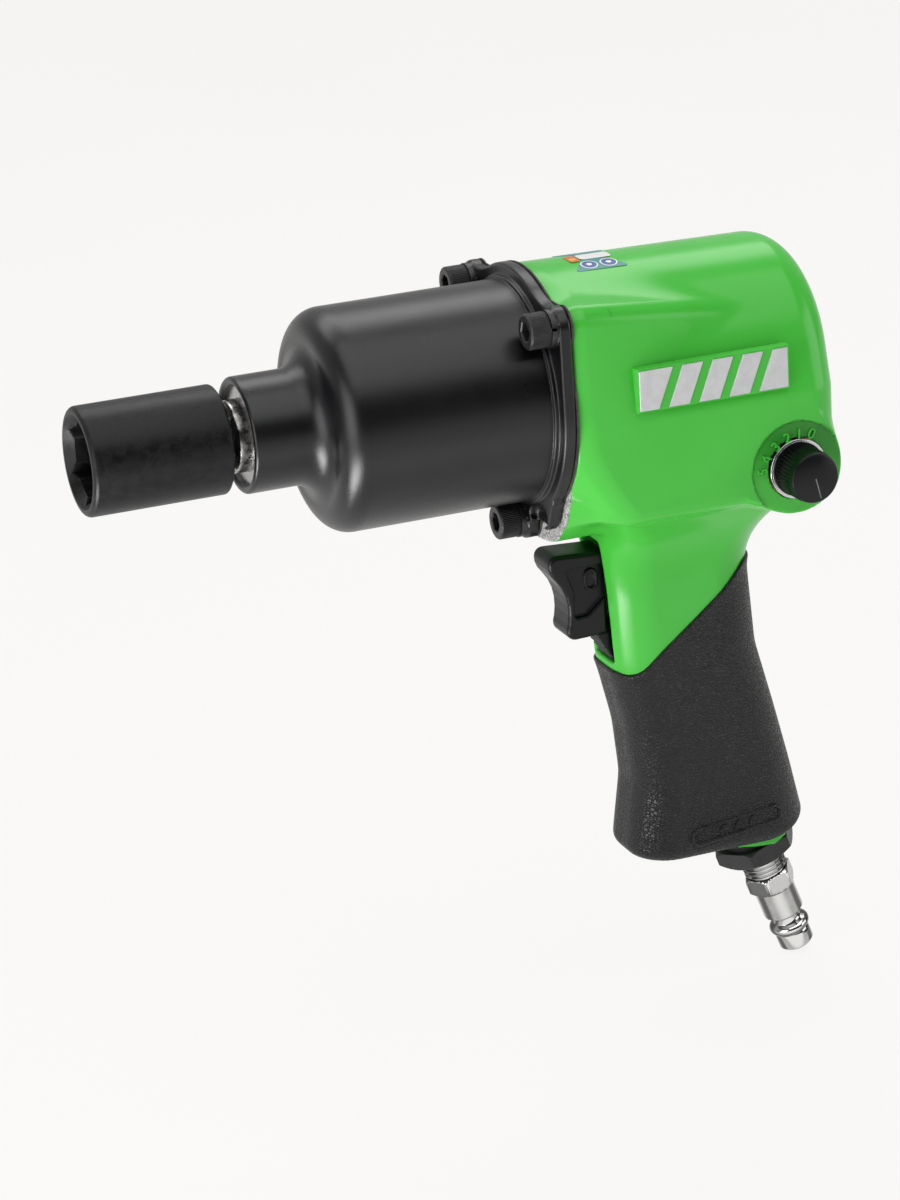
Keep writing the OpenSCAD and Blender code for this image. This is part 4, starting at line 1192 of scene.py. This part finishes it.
def make_label():
    """Printed film with plain coloured shapes."""
    white = film("label_white", (0.82, 0.82, 0.8))
    orange = film("label_orange", (0.75, 0.13, 0.03))
    yellow = film("label_yellow", (0.8, 0.5, 0.05))
    blue = film("label_blue", (0.03, 0.09, 0.32))
    base = film_patch("top_label_film", oblong(97.7, 112.6, -9.4, 9.4, 0.5), 0.16, LOOKS["label_film"])
    shapes = [
        film_patch("label_block", oblong(101.6, 111.0, -2.9, 2.4, 1.3), 0.2, white),
        film_patch("label_patch", oblong(98.2, 101.2, -2.6, 3.4, 0.5), 0.2, orange),
        film_patch("label_spot", oblong(98.6, 100.4, 0.3, 2.2, 0.4), 0.23, yellow),
    ]
    for x in (102.4, 108.2):
        ring = arc((x, 6.2), 2.5, 0, 345, 23)
        disc = arc((x, 6.2), 2.1, 0, 345, 23)
        shapes.append(film_patch("label_ring", ring, 0.2, white))
        shapes.append(film_patch("label_disc", disc, 0.23, blue))
        shapes.append(film_patch("label_dot", arc((x, 6.2), 0.8, 0, 345, 11), 0.25, white))
    join_pieces(base, shapes)
    finish(base, "tool_body", "label_film", "top_label")


make_housing()
make_case()
make_grip()
make_trigger()
make_anvil()
make_socket()
make_screws()
make_knob()
make_bushing()
make_plug()
make_badge()
make_label()

# Every CAD part that is still shown takes its slot's finish.
for part in frame["record"]["subparts"]:
    mesh = frame["nodes"][part["node"]].data
    mesh.materials.clear()
    mesh.materials.append(LOOKS[part["material_slot"]])


# ---- Studio ----

# Brightness of the floor as the tool sees it and as the camera sees it.
FLOOR_GLOW = 0.78
FLOOR_SEEN = 0.945


def floor_look():
    """Near-white floor with a faint shadow; the tool itself sees it dimmer than the camera does."""
    look = Look("studio_floor")
    tone = look.patches(0.004, 2.0, 0.3, 0.7)
    colour = look.blend(tone, (0.94, 0.93, 0.915), (0.945, 0.935, 0.92))
    glow = look.node("ShaderNodeEmission")
    look.feed(glow.inputs["Color"], colour)
    seen = look.node("ShaderNodeLightPath")
    look.feed(glow.inputs["Strength"], look.step(seen.outputs["Is Camera Ray"], 0, 1, FLOOR_GLOW, FLOOR_SEEN))
    paper = look.node("ShaderNodeBsdfDiffuse")
    look.feed(paper.inputs["Color"], look.blend(0.93, colour, (0, 0, 0)))
    total = look.node("ShaderNodeAddShader")
    look.link(glow, 0, total, 0)
    look.link(paper, 0, total, 1)
    look.link(total, 0, look.out, "Surface")
    return look.material


def make_floor():
    height, side, front, back = -186.5, 9000, -6000, 9000
    spots = [(-side, front, height), (side, front, height), (side, back, height), (-side, back, height)]
    floor = add_mesh("studio_floor", spots, [[0, 1, 2, 3]])
    floor.data.materials.append(floor_look())


def softbox(name, place, at, width, height, power):
    """Rectangular light, in metres and watts, that the camera does not see."""
    light = bpy.data.lights.new(name, "AREA")
    light.shape = "RECTANGLE"
    light.size = width
    light.size_y = height
    light.energy = power
    obj = bpy.data.objects.new(name, light)
    obj.location = place
    bpy.context.scene.collection.objects.link(obj)
    obj.rotation_euler = (Vector(at) - obj.location).to_track_quat("-Z", "Y").to_euler()
    obj.visible_camera = False


def make_world():
    """Bright behind the tool, dim on the camera's side."""
    world = bpy.data.worlds.new("studio")
    bpy.context.scene.world = world
    world.use_nodes = True
    tree = world.node_tree
    tree.nodes.clear()
    out = tree.nodes.new("ShaderNodeOutputWorld")
    back = tree.nodes.new("ShaderNodeBackground")
    place = tree.nodes.new("ShaderNodeTexCoord")
    parts = tree.nodes.new("ShaderNodeSeparateXYZ")
    depth = tree.nodes.new("ShaderNodeMapRange")
    depth.interpolation_type = "SMOOTHSTEP"
    for key, number in (("From Min", -0.25), ("From Max", 0.6), ("To Min", 0.04), ("To Max", 0.5)):
        depth.inputs[key].default_value = number
    tree.links.new(place.outputs["Generated"], parts.inputs[0])
    tree.links.new(parts.outputs["Y"], depth.inputs["Value"])
    tree.links.new(depth.outputs["Result"], back.inputs["Strength"])
    tree.links.new(back.outputs[0], out.inputs[0])
    back.inputs["Color"].default_value = (1, 1, 1, 1)


def make_camera():
    """Long lens from the front left and above, rolled a little; lengths in millimetres."""
    azimuth, elevation, roll = math.radians(-20.907), math.radians(19.579), math.radians(-3.267)
    distance, target = 1087.09, np.array([43.972, -38.438, -42.946])
    back = np.array([math.sin(azimuth) * math.cos(elevation), -math.cos(azimuth) * math.cos(elevation),
                     math.sin(elevation)])
    level = np.array([math.cos(azimuth), math.sin(azimuth), 0])
    upright = np.cross(back, level)
    right = math.cos(roll) * level + math.sin(roll) * upright
    up = math.cos(roll) * upright - math.sin(roll) * level
    camera = bpy.data.cameras.new("camera")
    camera.sensor_width = 36
    camera.lens = 122.078
    camera.clip_start = 0.01
    obj = bpy.data.objects.new("camera", camera)
    obj.matrix_world = Matrix(basis((target + distance * back) * MM, right, up, back).tolist())
    bpy.context.scene.collection.objects.link(obj)
    bpy.context.scene.camera = obj


make_floor()
make_world()
make_camera()
# Lights, in metres: the tool's middle, then panels above and beside it and cards on the floor.
MIDDLE = (0.08, 0.0, -0.06)
softbox("overhead_front", (0.05, -0.37, 0.93), MIDDLE, 1.4, 1.15, 8.2)
softbox("overhead_rear", (0.1, 0.62, 0.82), MIDDLE, 1.4, 0.45, 5.2)
softbox("left_panel", (-0.9, -0.4, 0.15), MIDDLE, 0.7, 0.7, 4.0)
softbox("card_left", (-0.19, -0.12, -0.184), (-0.18, -0.12, 1.0), 0.2, 0.13, 1.3)
softbox("card_front", (0.06, -0.3, -0.184), (0.06, -0.29, 1.0), 0.5, 0.22, 0.12)
softbox("right_panel", (0.95, -0.45, 0.2), MIDDLE, 0.6, 0.6, 2.3)

bpy.context.scene.view_settings.view_transform = "Standard"
